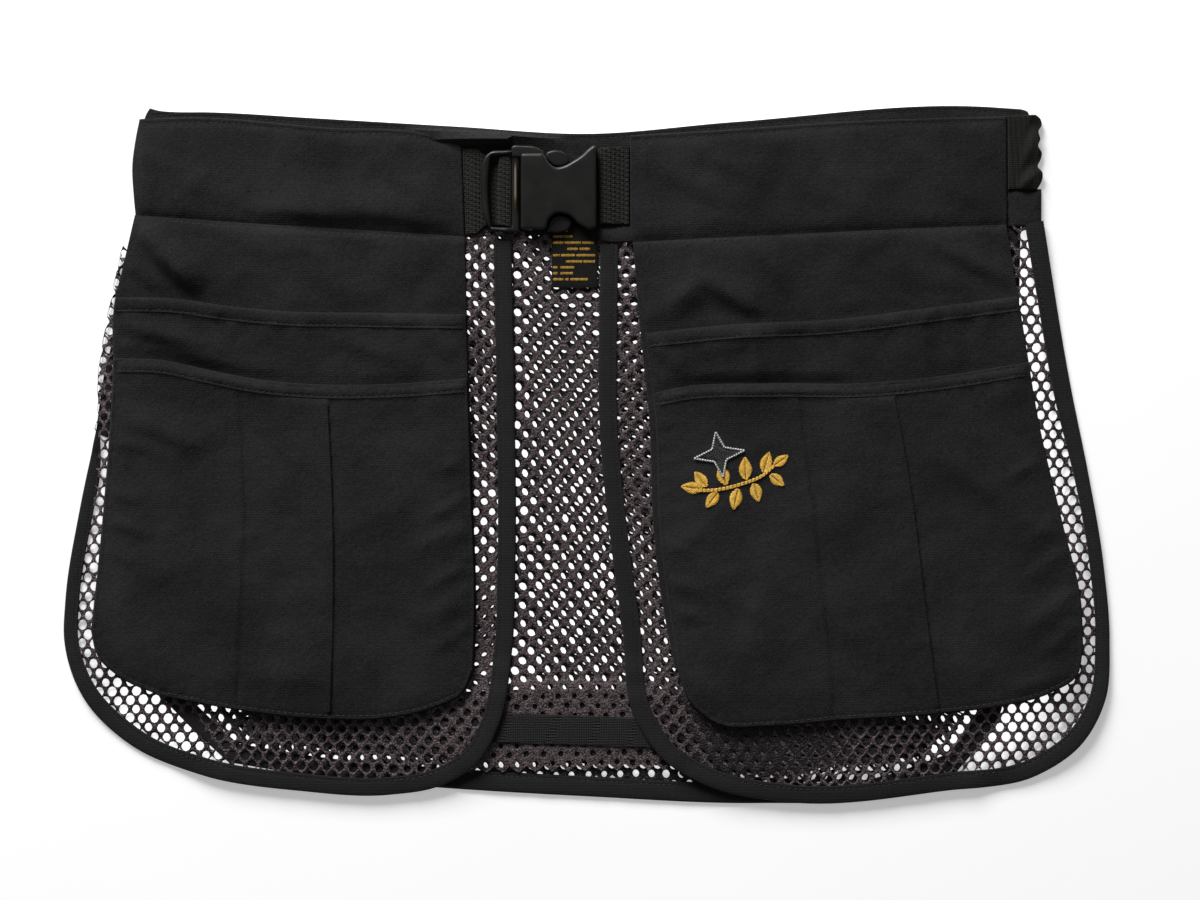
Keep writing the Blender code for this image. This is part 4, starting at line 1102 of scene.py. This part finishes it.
def add_front_net(side, outline, waist, bend, lift, seed):
    """A front's net, level under the pocket cloth and falling to the surface at its edge."""
    yoke = outline_of(YOKE_EDGES[side], 12.0)
    at_waist = drawn_shut(waist, 0.5, 10.0)

    def low(points):
        x, y = points[:, 0], points[:, 1]
        share = near(points, yoke, 1.1, 9.0)
        level = front_rest(points) * (1.0 - share) + POCKET_FLOOR * share
        level = level - 0.7 * mouth_dip(points, side) - 1.4 * ease(y, 70.0, 12.0) * ease(x, -226.0, -8.0)
        open_part = smooth(depth_in(points, outline) / 8.0) * (1.0 - share)
        return level + ripple(points, 0.35, seed) * open_part + lift(points)

    def closing(places):
        # The left front's net is bunched beside its pocket's lower half
        x, y = places[:, 0], places[:, 1]
        bunched = (ease(y, -46.0, -16.0) * ease(y, -142.0, 16.0)
                   * ease(x, -64.0, 5.0) * ease(x, -30.0, -5.0))
        return at_waist(places) + 0.34 * bunched

    net = add_net(side + "_front_net", outline, low, bend, 2.8, clear_of_seam(waist), closing)
    declare(side + "_net")


def add_yoke(side, upper_welt, waist, seed):
    """The cloth behind the pockets. Its turned top edge is stitched over the waistband."""
    outline = outline_of(YOKE_EDGES[side])
    top = curve(YOKE_EDGES[side]["top"])[::-1]
    outline[above(outline, top) > -0.5] += (0.0, 0.9)

    def low(points):
        share = smooth(above(points, upper_welt + (0.0, 1.0)) / 6.0)
        relief = folds(points, YOKE_FOLDS[side]) + 0.3 + crumple(points, 0.7, 8.0, seed)
        relief = relief * smooth(depth_in(points, outline) / 7.0)
        drawn = pucker(points, waist, 0.3, 8.0, 8.5) - dips(points, YOKE_DIPS[side])
        fall = 1.2 * ease(above(points, waist), -3.2, 3.4)
        return YOKE_LOW + (relief + drawn) * share - 0.85 * mouth_dip(points, side) - fall

    def high(points):
        return low(points) + CLOTH

    stitch_rows.append((waist[1:-1] - (0.0, 1.5), high))
    yoke = add_sheet(side + "_yoke_cloth", outline, low, high, spacing=2.9,
                     lines=[waist + (0.0, shift) for shift in (-3.2, -1.8, -0.5)])
    declare(side + "_yoke")


def pocket_outline(edges, welt, margin):
    """Outline of a pocket from its top edge, the welt, down round the lower edges behind it."""
    left = part_below(curve(edges["left"]), welt[0, 1])
    right = part_below(curve(edges["right"]), welt[-1, 1])[::-1]
    lower = [curve(edges[name]) for name in ("corner", "bottom") if name in edges]
    top = np.vstack([left[:1], welt[1:-1], right[-1:]])[::-1]
    return inset(joined([left] + lower + [right, top]), margin)


def part_below(edge, height):
    """The stretch of a side edge, running down the page, that lies below a height."""
    points = edge if edge[0, 1] > edge[-1, 1] else edge[::-1]
    x = np.interp(-height, -points[:, 1], points[:, 0])
    return np.vstack([[(x, height)], points[points[:, 1] < height - 1.0]])


def welt_relief(points, welt, hem_line):
    """A pocket's turned-over top edge: twice as thick, rounded at the top, stitched below."""
    turned = 0.5 * ease(above(points, hem_line), -0.5, 0.5)
    rounded = 0.3 * (1.0 - smooth(-above(points, welt) / 1.4))
    drawn = pucker(points, hem_line, 0.17, 5.0, 5.6)
    return turned - rounded + drawn - groove(points, hem_line + (0.0, 0.9), 0.5, 0.7)


def add_pocket(side, level, outline, low, high, welt, spacing, lines):
    """A pocket's cloth, with the creases and the stitches of its turned-over top edge."""
    hem_line = welt - (0.0, WELT_HEM)
    lines = [hem_line, hem_line - (0.0, 0.5), welt - (0.0, 1.3), welt - (0.0, 2.6),
             *stitch_lines(hem_line + (0.0, 0.9), 0.6)[:2], *lines]
    pocket = add_sheet(side + level + "_pocket_cloth", outline, low, high, spacing=spacing,
                       lines=lines)
    declare(side + level + "_pocket")
    stitch_rows.append((hem_line[1:-1] + (0.0, 0.9), high))


def gape(points, table, down, depth, reach, edge_share):
    """How far a pocket's mouth stands open, less and less down to its reach."""
    lift = 0.9 + dips(points, table)
    return lift * smooth(1.0 - down / reach) * smooth(depth + edge_share)


def add_upper_pocket(side, outline, welt, lower_welt):
    """The upper pocket, whose top edge is turned over and gapes a little."""
    def low(points):
        depth = depth_in(points, outline)
        opening = gape(points, UPPER_LIFTS[side], -above(points, welt), depth / 5.0, 18.0, 0.35)
        share = smooth(above(points, lower_welt + (0.0, 1.0)) / 5.0) * smooth(depth / 6.0)
        relief = folds(points, UPPER_FOLDS[side]) + crumple(points, 0.7, 6.5, 11 + len(side))
        return UPPER_LOW + opening + relief * share - mouth_dip(points, side)

    def high(points):
        return low(points) + CLOTH + welt_relief(points, welt, welt - (0.0, WELT_HEM))

    add_pocket(side, "_upper", outline, low, high, welt, 3.0, [])


def add_lower_pocket(side, outline, welt):
    """The lower pocket: a turned top edge that gapes, a box pleat and the cloth's folds."""
    hem_line = welt - (0.0, WELT_HEM)
    first, second = (curve(line) for line in PLEATS[side])
    seam = inset(outline, 1.7)
    closed_seam = looped(seam)

    def low(points):
        depth = depth_in(points, outline)
        opening = gape(points, LOWER_LIFTS[side], -above(points, welt), depth / 6.0, 26.0, 0.25)
        puff = 0.8 * ease(depth, 2.0, 16.0)
        creases = folds(points, LOWER_FOLDS[side]) * (0.25 + 0.75 * ease(depth, 1.0, 7.0))
        soft = crumple(points, 0.7, 10.0, 21 + len(side)) * smooth(depth / 10.0)
        drawn = pucker(points, closed_seam, 0.3, 7.0, 9.0) * smooth(depth / 1.6)
        return LOWER_LOW + opening + puff + creases + soft + drawn

    def high(points):
        from_first, from_second = right_of(points, first), -right_of(points, second)
        between = PLEAT_RISES[0] + (PLEAT_RISES[1] - PLEAT_RISES[0]) * (
            from_first / np.maximum(from_first + from_second, 1.0))
        pleat = between * smooth(from_first / PLEAT_EDGE) * smooth(from_second / PLEAT_EDGE)
        trench = 0.6 * np.exp(-(from_second / 2.2) ** 2) * (from_second < 0.0)
        return (low(points) + CLOTH + welt_relief(points, welt, hem_line)
                + (pleat - trench) * smooth(-above(points, hem_line) / 3.0)
                - groove(points, closed_seam, 0.4, 0.8))

    lines = [closed_seam, looped(inset(seam, 0.9))]
    for line, shift in ((first, PLEAT_EDGE), (first, 0.0), (second, 0.0), (second, -PLEAT_EDGE),
                        (second, 2.0)):
        moved = line + (shift, 0.0)
        lines.append(moved[above(moved, hem_line - (0.0, 2.0)) < 0.0])
    add_pocket(side, "_lower", outline, low, high, welt, 2.3, lines)
    is_low = seam[:, 1] < welt[:, 1].min() - WELT_HEM - 2.0
    start = int(np.argmax(is_low & ~np.roll(is_low, 1)))
    stitch_rows.append((np.roll(seam, -start, axis=0)[:int(np.sum(is_low))], high))
    return high


def left_lift(points):
    """How far the left front's edge is raised where its net is folded under, and at its corner."""
    distance, _ = gap_to(points, curve(LEFT_FOLD, 6.0))
    corner = dips(points, [(-272.0, -120.0, 26.0, 26.0, 1.6), (-40.0, -165.0, 20.0, 20.0, 0.8)])
    return 1.2 * (1.0 - ease(distance, 9.0, 8.0)) * ease(points[:, 1], -6.0, 14.0) + corner


def right_lift(points):
    """How far the right front's corners are raised off the surface."""
    return dips(points, [(270.0, -150.0, 40.0, 40.0, 3.4), (45.0, -180.0, 24.0, 18.0, 1.2),
                         (272.0, -40.0, 20.0, 50.0, 1.4)])


def waist_seam(side):
    """The line under the waistband where a front's net ends."""
    return curve(WAISTBAND_EDGES[side]["bottom"], 8.0)[::-1] + (0.0, 1.0)


def add_left_front():
    """The left front, whose outer edge is folded under."""
    bound = curve(LEFT_BOUND)
    widths = binding_widths(bound, 0.22, 0.55)
    add_binding("left", bound, widths * smooth(np.linspace(0.35, 14.0, len(bound))), left_lift)

    fold, limit = curve(LEFT_FOLD, 6.0), curve(LEFT_LIMIT, 6.0)
    hidden = curve([(-255.2, 8.0), (-253.2, 24.0), (-250.8, 40.0), (-247.0, 56.0), (-242.4, 76.0)])
    edge = joined([beside(hidden, -5.1), hidden[-1:], beside(hidden, 5.1)[::-1], hidden[:1]])
    under = add_sheet("left_folded_tape", edge, flat(0.05), flat(0.75), BINDING_COLOUR,
                      rim=0.3)
    turned = add_net("left_folded_net", joined([fold, beside(fold, 11.0)[::-1]]), flat(0.75),
                     tucked(bend_of(1.4, 4.0), limit), 0.5,
                     lambda places: (places[:, 1] > 17.0) & (places[:, 1] < 106.0))
    net = np.vstack([beside(bound, widths + SEAM)[::3], waist_seam("left")[:-1], fold])
    add_front("left", net, tucked(bend_of(1.1, 3.3), limit), left_lift, 3.3, 2,
              YOKE_EDGES["left"])


def add_right_front():
    """The right front, whose pockets stop short of the cloth behind them at its inner side."""
    bound = curve(RIGHT_BOUND)
    widths = binding_widths(bound[::-1], 0.32, 0.66)[::-1]
    widths = widths + 2.6 * ease(bound[:, 1], -30.0, 80.0) * (bound[:, 0] > 150.0)
    add_binding("right", bound, widths, right_lift)
    net = np.vstack([beside(bound, widths + SEAM)[::3], waist_seam("right")])
    pocket_edges = dict(YOKE_EDGES["right"], left=[
        (25.6, 111.4), (30.4, 66), (35.9, 18.3), (38.4, -44), (43.2, -82), (48.5, -115)])
    return add_front("right", net, bend_of(1.1, 5.1), right_lift, 5.1, 6, pocket_edges)


# Buckle and webbing
MALE_EDGES = closed(
    bottom=[(-43, 117), (-50.4, 118)],
    left=[(-53.6, 124), (-55.5, 135), (-55.6, 146), (-54.8, 154.8), (-53.2, 157.8)],
    top=[(-50.6, 159.8), (-44, 160.5), (-35, 160.9)],
    right=[(-35, 117.2)])
WINDOW_EDGES = closed(
    bottom=[(-39.6, 119.8)],
    right=[(-39.6, 158.2)],
    top=[(-50.2, 157.4)],
    left=[(-51.4, 148), (-51.5, 134), (-50, 120.2)])
SHOULDER_PLACES = [(-39.6, 157), (-39.4, 162.6), (-33, 163.1), (-26.4, 162.3), (-22.6, 160), (-21.8, 156)]
TOP_SCOOP = [(-23.2, 158.7), (-22, 157.4), (-19.6, 153.6), (-16.2, 151.4), (-12.6, 151.8), (-7.3, 154.5),
    (-2.1, 158), (1.5, 161.4), (3.6, 162.8)]
BOTTOM_SCOOP = [(-22.4, 118.4), (-21.2, 119.4), (-19.6, 123.8), (-16.2, 126.8), (-11.7, 126.8),
    (-7.3, 124.7), (-4.4, 121.6), (-0.4, 119.4), (1.6, 118.5)]
TOP_ARM = [(-21.6, 156.6), (-21, 159.3), (-19.4, 160.1), (-13.2, 160.1), (-10.8, 158.9), (-9.4, 156.2),
    (-9.2, 154.2)]
BOTTOM_ARM = [(-21, 121), (-20.6, 118.3), (-19, 117.5), (-13, 117.5), (-9.8, 118.6), (-8, 121),
    (-7.9, 124.6)]


def add_plastic(name, node, outline, low, high, rim, rim_steps, spacing=1.5, holes=()):
    """A moulded part of the buckle."""
    part = add_sheet(name, outline, low, high, PLASTIC, spacing=spacing, holes=holes,
                     rim=rim, rim_steps=rim_steps, sharp_angle=60.0)
    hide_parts(node)


def add_buckle():
    """The fastened side-release buckle."""
    small_steps = (0.1, 0.35, 0.7, 1.0)
    add_plastic("buckle_male_frame", "buckle_male", outline_of(MALE_EDGES, 1.5), flat(4.5),
                lambda points: 8.9 - 2.6 * ease(points[:, 0], -40.4, 1.4), 1.7,
                (0.06, 0.2, 0.45, 0.75, 1.0), 1.6, [outline_of(WINDOW_EDGES, 1.5)])
    shoulder = joined([curve(SHOULDER_PLACES, 1.3), curve([SHOULDER_PLACES[-1], SHOULDER_PLACES[0]],
                                                          1.5)])
    add_plastic("buckle_male_shoulder", "buckle_male", shoulder, flat(4.7), flat(7.4), 1.2,
                small_steps, 1.6)
    # The bar that the webbing is wound on, between the webbing and the body
    angles = np.arange(10) * math.tau / 10
    rings = []
    for share in np.linspace(1.0, 0.0, 14):
        size = 0.7 * min(1.0, 0.35 + 5.0 * min(share, 1.0 - share))
        rings.append(np.column_stack([-37.3 + size * np.cos(angles),
                                      np.full(10, 129.6 + 24.8 * share),
                                      8.2 + size * 0.9 * np.sin(angles)]))
    add_loft("buckle_cross_bar", rings, BAR_PLASTIC, 60.0)

    stretches = [([(-33.6, 118.6), BOTTOM_SCOOP[0]], 1.2), (BOTTOM_SCOOP, 1.0),
                 ([BOTTOM_SCOOP[-1], (4.0, 118.9)], 1.0),
                 ([(4.0, 118.9), (5.0, 119.4), (5.5, 120.6)], 0.7),
                 ([(5.5, 120.6), (5.4, 140.0), (5.2, 161.0)], 1.2),
                 ([(5.2, 161.0), (4.8, 162.5), TOP_SCOOP[-1]], 0.7), (TOP_SCOOP[::-1], 1.0),
                 ([TOP_SCOOP[0], (-33.4, 158.6)], 1.2),
                 ([(-33.4, 158.6), (-34.3, 158.2), (-34.6, 157.2)], 0.7),
                 ([(-34.6, 157.2), (-34.6, 120.0)], 1.2),
                 ([(-34.6, 120.0), (-34.4, 119.0), (-33.6, 118.6)], 0.7)]
    add_plastic("buckle_female_body", "buckle_female",
                joined([curve(places, step) for places, step in stretches]), flat(BAND_LOW),
                lambda points: 11.1 + 0.45 * (1.0 - ((points[:, 1] - 140.0) / 22.0) ** 2), 1.7,
                (0.04, 0.13, 0.28, 0.5, 0.75, 1.0))
    for name, scoop, places, inward in (("top", TOP_SCOOP, TOP_ARM, 0.7),
                                        ("bottom", BOTTOM_SCOOP, BOTTOM_ARM, -0.7)):
        inner = curve(scoop, 1.0)
        inner = inner[(inner[:, 0] > -21.0) & (inner[:, 0] < -9.0)][::-1] + (0.0, inward)
        outline = joined([curve(places, 1.0), inner, np.array([places[0]])])
        add_plastic("buckle_release_" + name, "buckle_arm_" + name, outline, flat(BAND_LOW + 1.5),
                    flat(7.4), 1.1, small_steps)


def ribbed_strap(side, outline, rise, rib_start, rib_pitch):
    """A strap of webbing, woven in fine ribs with a zigzag of thread knots on them."""
    def high(points):
        share = (points[:, 0] - rib_start) / rib_pitch
        rib = np.abs(np.sin(share * np.pi))
        beat = np.sin(points[:, 1] * 2.5 + np.pi * np.floor(share) * 0.55)
        return rise(points) + WEBBING * 0.7 + (0.5 + 0.3 * beat) * rib

    strap = add_sheet(side + "_belt_webbing", outline, rise, high, WEBBING_COLOUR,
                      spacing=0.72, rim=0.4)
    declare(side + "_webbing")


def add_straps():
    """The webbing on both sides of the buckle and at the side adjuster."""
    def left_rise(points):
        x = points[:, 0]
        bulge = np.cos(np.clip((x + 43.2) / 4.2, -1.0, 1.0) * 1.2)
        return (BAND_LOW + (2.6 + bulge) * ease(x, -46.9, 0.9)
                + 0.6 * np.exp(-((x + 59.0) / 4.0) ** 2))

    def right_rise(points):
        x = points[:, 0]
        return BAND_LOW + SEAM + 1.9 * ease(x, 21.0, -11.0) * ease(x, 6.6, 1.6)

    left_edges = closed(
        bottom=[(-60, 116.6), (-57.5, 117.2), (-54, 120.4), (-39.9, 120.4)], right=[(-39.9, 158)],
        top=[(-54, 158.4), (-57.5, 161.4), (-61, 161.9), (-65.5, 161.9)], left=[(-64, 116.6)])
    right_edges = closed(bottom=[(22.8, 121.6)], right=[(22.7, 163)], top=[(5.9, 162)],
                         left=[(5.9, 121.9)])
    ribbed_strap("left", outline_of(left_edges, 1.0), left_rise, -65.6, 1.93)
    ribbed_strap("right", outline_of(right_edges, 1.0), right_rise, 6.6, 2.3)

    def side_high(points):
        x, y = points[:, 0], points[:, 1]
        bunch = smooth((x - 229.0 + 0.12 * (160.0 - y)) / 5.0)
        crease = y * 0.4 + 0.9 * np.sin(y * 0.13 + 0.6) - 0.3 * (x - 232.0)
        leaning = x + 0.06 * (y - 160.0)
        rib = 0.6 * np.abs(np.sin((leaning - 222.9) * np.pi / 2.7)) * (1.0 - 0.6 * bunch)
        return (BAND_HIGH + 0.7 + rib + (0.95 * np.sin(crease) + 0.8) * bunch
                - 2.4 * ease(x, 235.5, 5.0))

    side = add_sheet("side_adjuster_webbing", outline_of(SIDE_WEBBING_EDGES, 1.0),
                     lambda points: np.where(points[:, 0] < 235.6, BAND_LOW, 0.1), side_high,
                     GATHERED_COLOUR, spacing=0.85,
                     lines=upright_lines((235.5, 235.9), np.arange(141.0, 178.5)), rim=0.5)
    declare("side_webbing")


# Emblem: a plain leaf sprig and a four-pointed star, in raised satin stitch
EMBLEM = np.array([79.0, -9.5])
# Leaves: base x, base y, direction in degrees, length, width
LEAVES = [(-17, -9, 172, 12, 6.6), (-15, -8.5, 128, 11, 6.4), (-9, -9.5, 232, 11, 6.4),
    (-5, -7.5, 108, 12, 7), (1, -7.5, 258, 12, 7), (5, -5, 92, 13, 7.2), (9, -4.5, 284, 11, 6.6),
    (14, -1, 74, 12, 6.6), (17, -0.5, 322, 10, 6), (19, 3, 36, 10, 5.6)]
STEM = [(-22, -9.5), (-12, -9.4), (2, -6.4), (14, -1.6), (20, 3.4)]
STAR_CENTRE = (-9.0, 9.5)
STAR_REACH = (13.5, 12.0)
STAR_WAIST = 4.6


def direction(angle):
    """The unit vector at an angle."""
    return np.array([math.cos(angle), math.sin(angle)])


def satin(outline, angle, pitch=0.6):
    """Starts and ends of the parallel threads that fill an outline."""
    centre = outline.mean(axis=0)
    along, across = direction(angle), direction(angle + math.pi / 2)
    local = (outline - centre) @ np.column_stack([along, across])
    following = np.roll(local, -1, axis=0)
    lines = []
    for level in np.arange(local[:, 1].min() + pitch / 2, local[:, 1].max(), pitch):
        is_crossing = (local[:, 1] > level) != (following[:, 1] > level)
        before, after = local[is_crossing], following[is_crossing]
        x = np.sort(before[:, 0] + (level - before[:, 1]) / (after[:, 1] - before[:, 1])
                    * (after[:, 0] - before[:, 0]))
        lines += [[centre + place * along + level * across for place in pair]
                  for pair in zip(x[::2], x[1::2]) if pair[1] - pair[0] > 0.5]
    return np.array(lines).swapaxes(0, 1)


def add_emblem(surface):
    """The emblem on the right pocket."""
    def raised(rise):
        return lambda points: surface(points) + rise

    groups = []
    share = np.linspace(0.0, 1.0, 13)
    for index, (base_x, base_y, degrees, length, width) in enumerate(LEAVES):
        angle = math.radians(degrees)
        ahead, side = direction(angle), direction(angle + math.pi / 2)
        base = EMBLEM + (base_x, base_y) + ahead * 0.8
        spine = base + np.outer(share * length, ahead)
        bulge = np.outer(np.sin(np.pi * share ** 0.85) * width * 0.5, side)
        for sign in (1.0, -1.0):
            half_leaf = np.vstack([spine + bulge * sign, spine[1:-1][::-1]])
            groups.append((*satin(half_leaf, angle + sign * math.radians(58.0)),
                           raised(0.35 + 0.05 * (index % 3)), 0.38))
    add_threads("emblem_leaves", groups, GOLD_THREAD)
    stem = EMBLEM + curve(STEM, 1.6)
    stem_rows = [(stem + (0.0, shift), raised(0.55)) for shift in (-0.45, 0.1, 0.65)]
    add_stitches("emblem_stem", stem_rows, GOLD_THREAD, 2.0, 0.05, 0.42)

    # The star's points are at every second corner, the long ones across and the short ones up
    reaches = (STAR_REACH[0], STAR_WAIST, STAR_REACH[1], STAR_WAIST) * 2
    star = np.array([EMBLEM + STAR_CENTRE + reach * direction(index * math.pi / 4.0 + 0.16)
                     for index, reach in enumerate(reaches)])
    add_threads("emblem_star", [(*satin(star, 0.5), raised(0.75), 0.4)], BLACK_THREAD)
    ring = looped(star)
    edge_rows = [(ring[index:index + 2], raised(1.0)) for index in range(8)]
    add_stitches("emblem_star_edge", edge_rows, PALE_THREAD, 1.3, 0.04, 0.55)


# Stage
LIGHT_PLACE = (-1.25, 3.05, 1.8)
LIGHT_SIZE = 1.7
LIGHT_POWER = 186.0
LENS = 85.0
SENSOR = 36.0
VIEW_WIDTH = 0.636


def add_stage():
    """A pale surface, soft light from the top, and a camera straight above."""
    scene = bpy.context.scene
    bpy.ops.mesh.primitive_plane_add(size=8.0, location=(0.0, 0.0, 0.0))
    floor = bpy.context.active_object
    floor.name = "floor"
    look = Look("pale_surface", (0.86, 0.86, 0.86), 0.9, 0.1)
    look.shader["Emission Color"].default_value = (1.0, 1.0, 1.0, 1.0)
    # Painted light: the surface glows, and it glows more under the garment than round it
    x, y, _ = look.axes()
    across = ((abs(x) + y * 0.12) / 0.256) ** 6.0
    below = ((y * -1.0).within(0.0, 1.0) / 0.172) ** 5.0
    painted_glow = ((1.0 - (across + below)) * 3.0).within(0.0, 1.0) * 0.65 + 0.35
    look.tree.links.new(painted_glow.socket, look.shader["Emission Strength"])
    look.vary(look.noise(3.0), (0.92, 0.92, 0.92), (0.95, 0.95, 0.95))
    floor.data.materials.append(look.material)

    scene.world = bpy.data.worlds.new("soft_room")
    scene.world.use_nodes = True
    background = scene.world.node_tree.nodes["Background"].inputs
    background["Color"].default_value = (1.0, 1.0, 1.0, 1.0)
    background["Strength"].default_value = 0.13

    lamp = bpy.data.lights.new("key_light", "AREA")
    lamp.size = LIGHT_SIZE
    lamp.energy = LIGHT_POWER
    light = bpy.data.objects.new("key_light", lamp)
    light.location = LIGHT_PLACE
    light.rotation_mode = "QUATERNION"
    light.rotation_quaternion = Vector(LIGHT_PLACE).to_track_quat("Z", "Y")
    scene.collection.objects.link(light)

    scene.view_settings.view_transform = "Standard"
    data = bpy.data.cameras.new("camera")
    data.lens = LENS
    data.sensor_width = SENSOR
    camera = bpy.data.objects.new("camera", data)
    camera.location = (0.0072, 0.0024, VIEW_WIDTH * LENS / SENSOR)
    scene.collection.objects.link(camera)
    scene.camera = camera


add_stage()
add_back()
add_label()
add_waistband()
add_left_front()
emblem_surface = add_right_front()
add_buckle()
add_straps()
add_emblem(emblem_surface)
add_stitches("seam_stitches", stitch_rows, SEWING_THREAD)
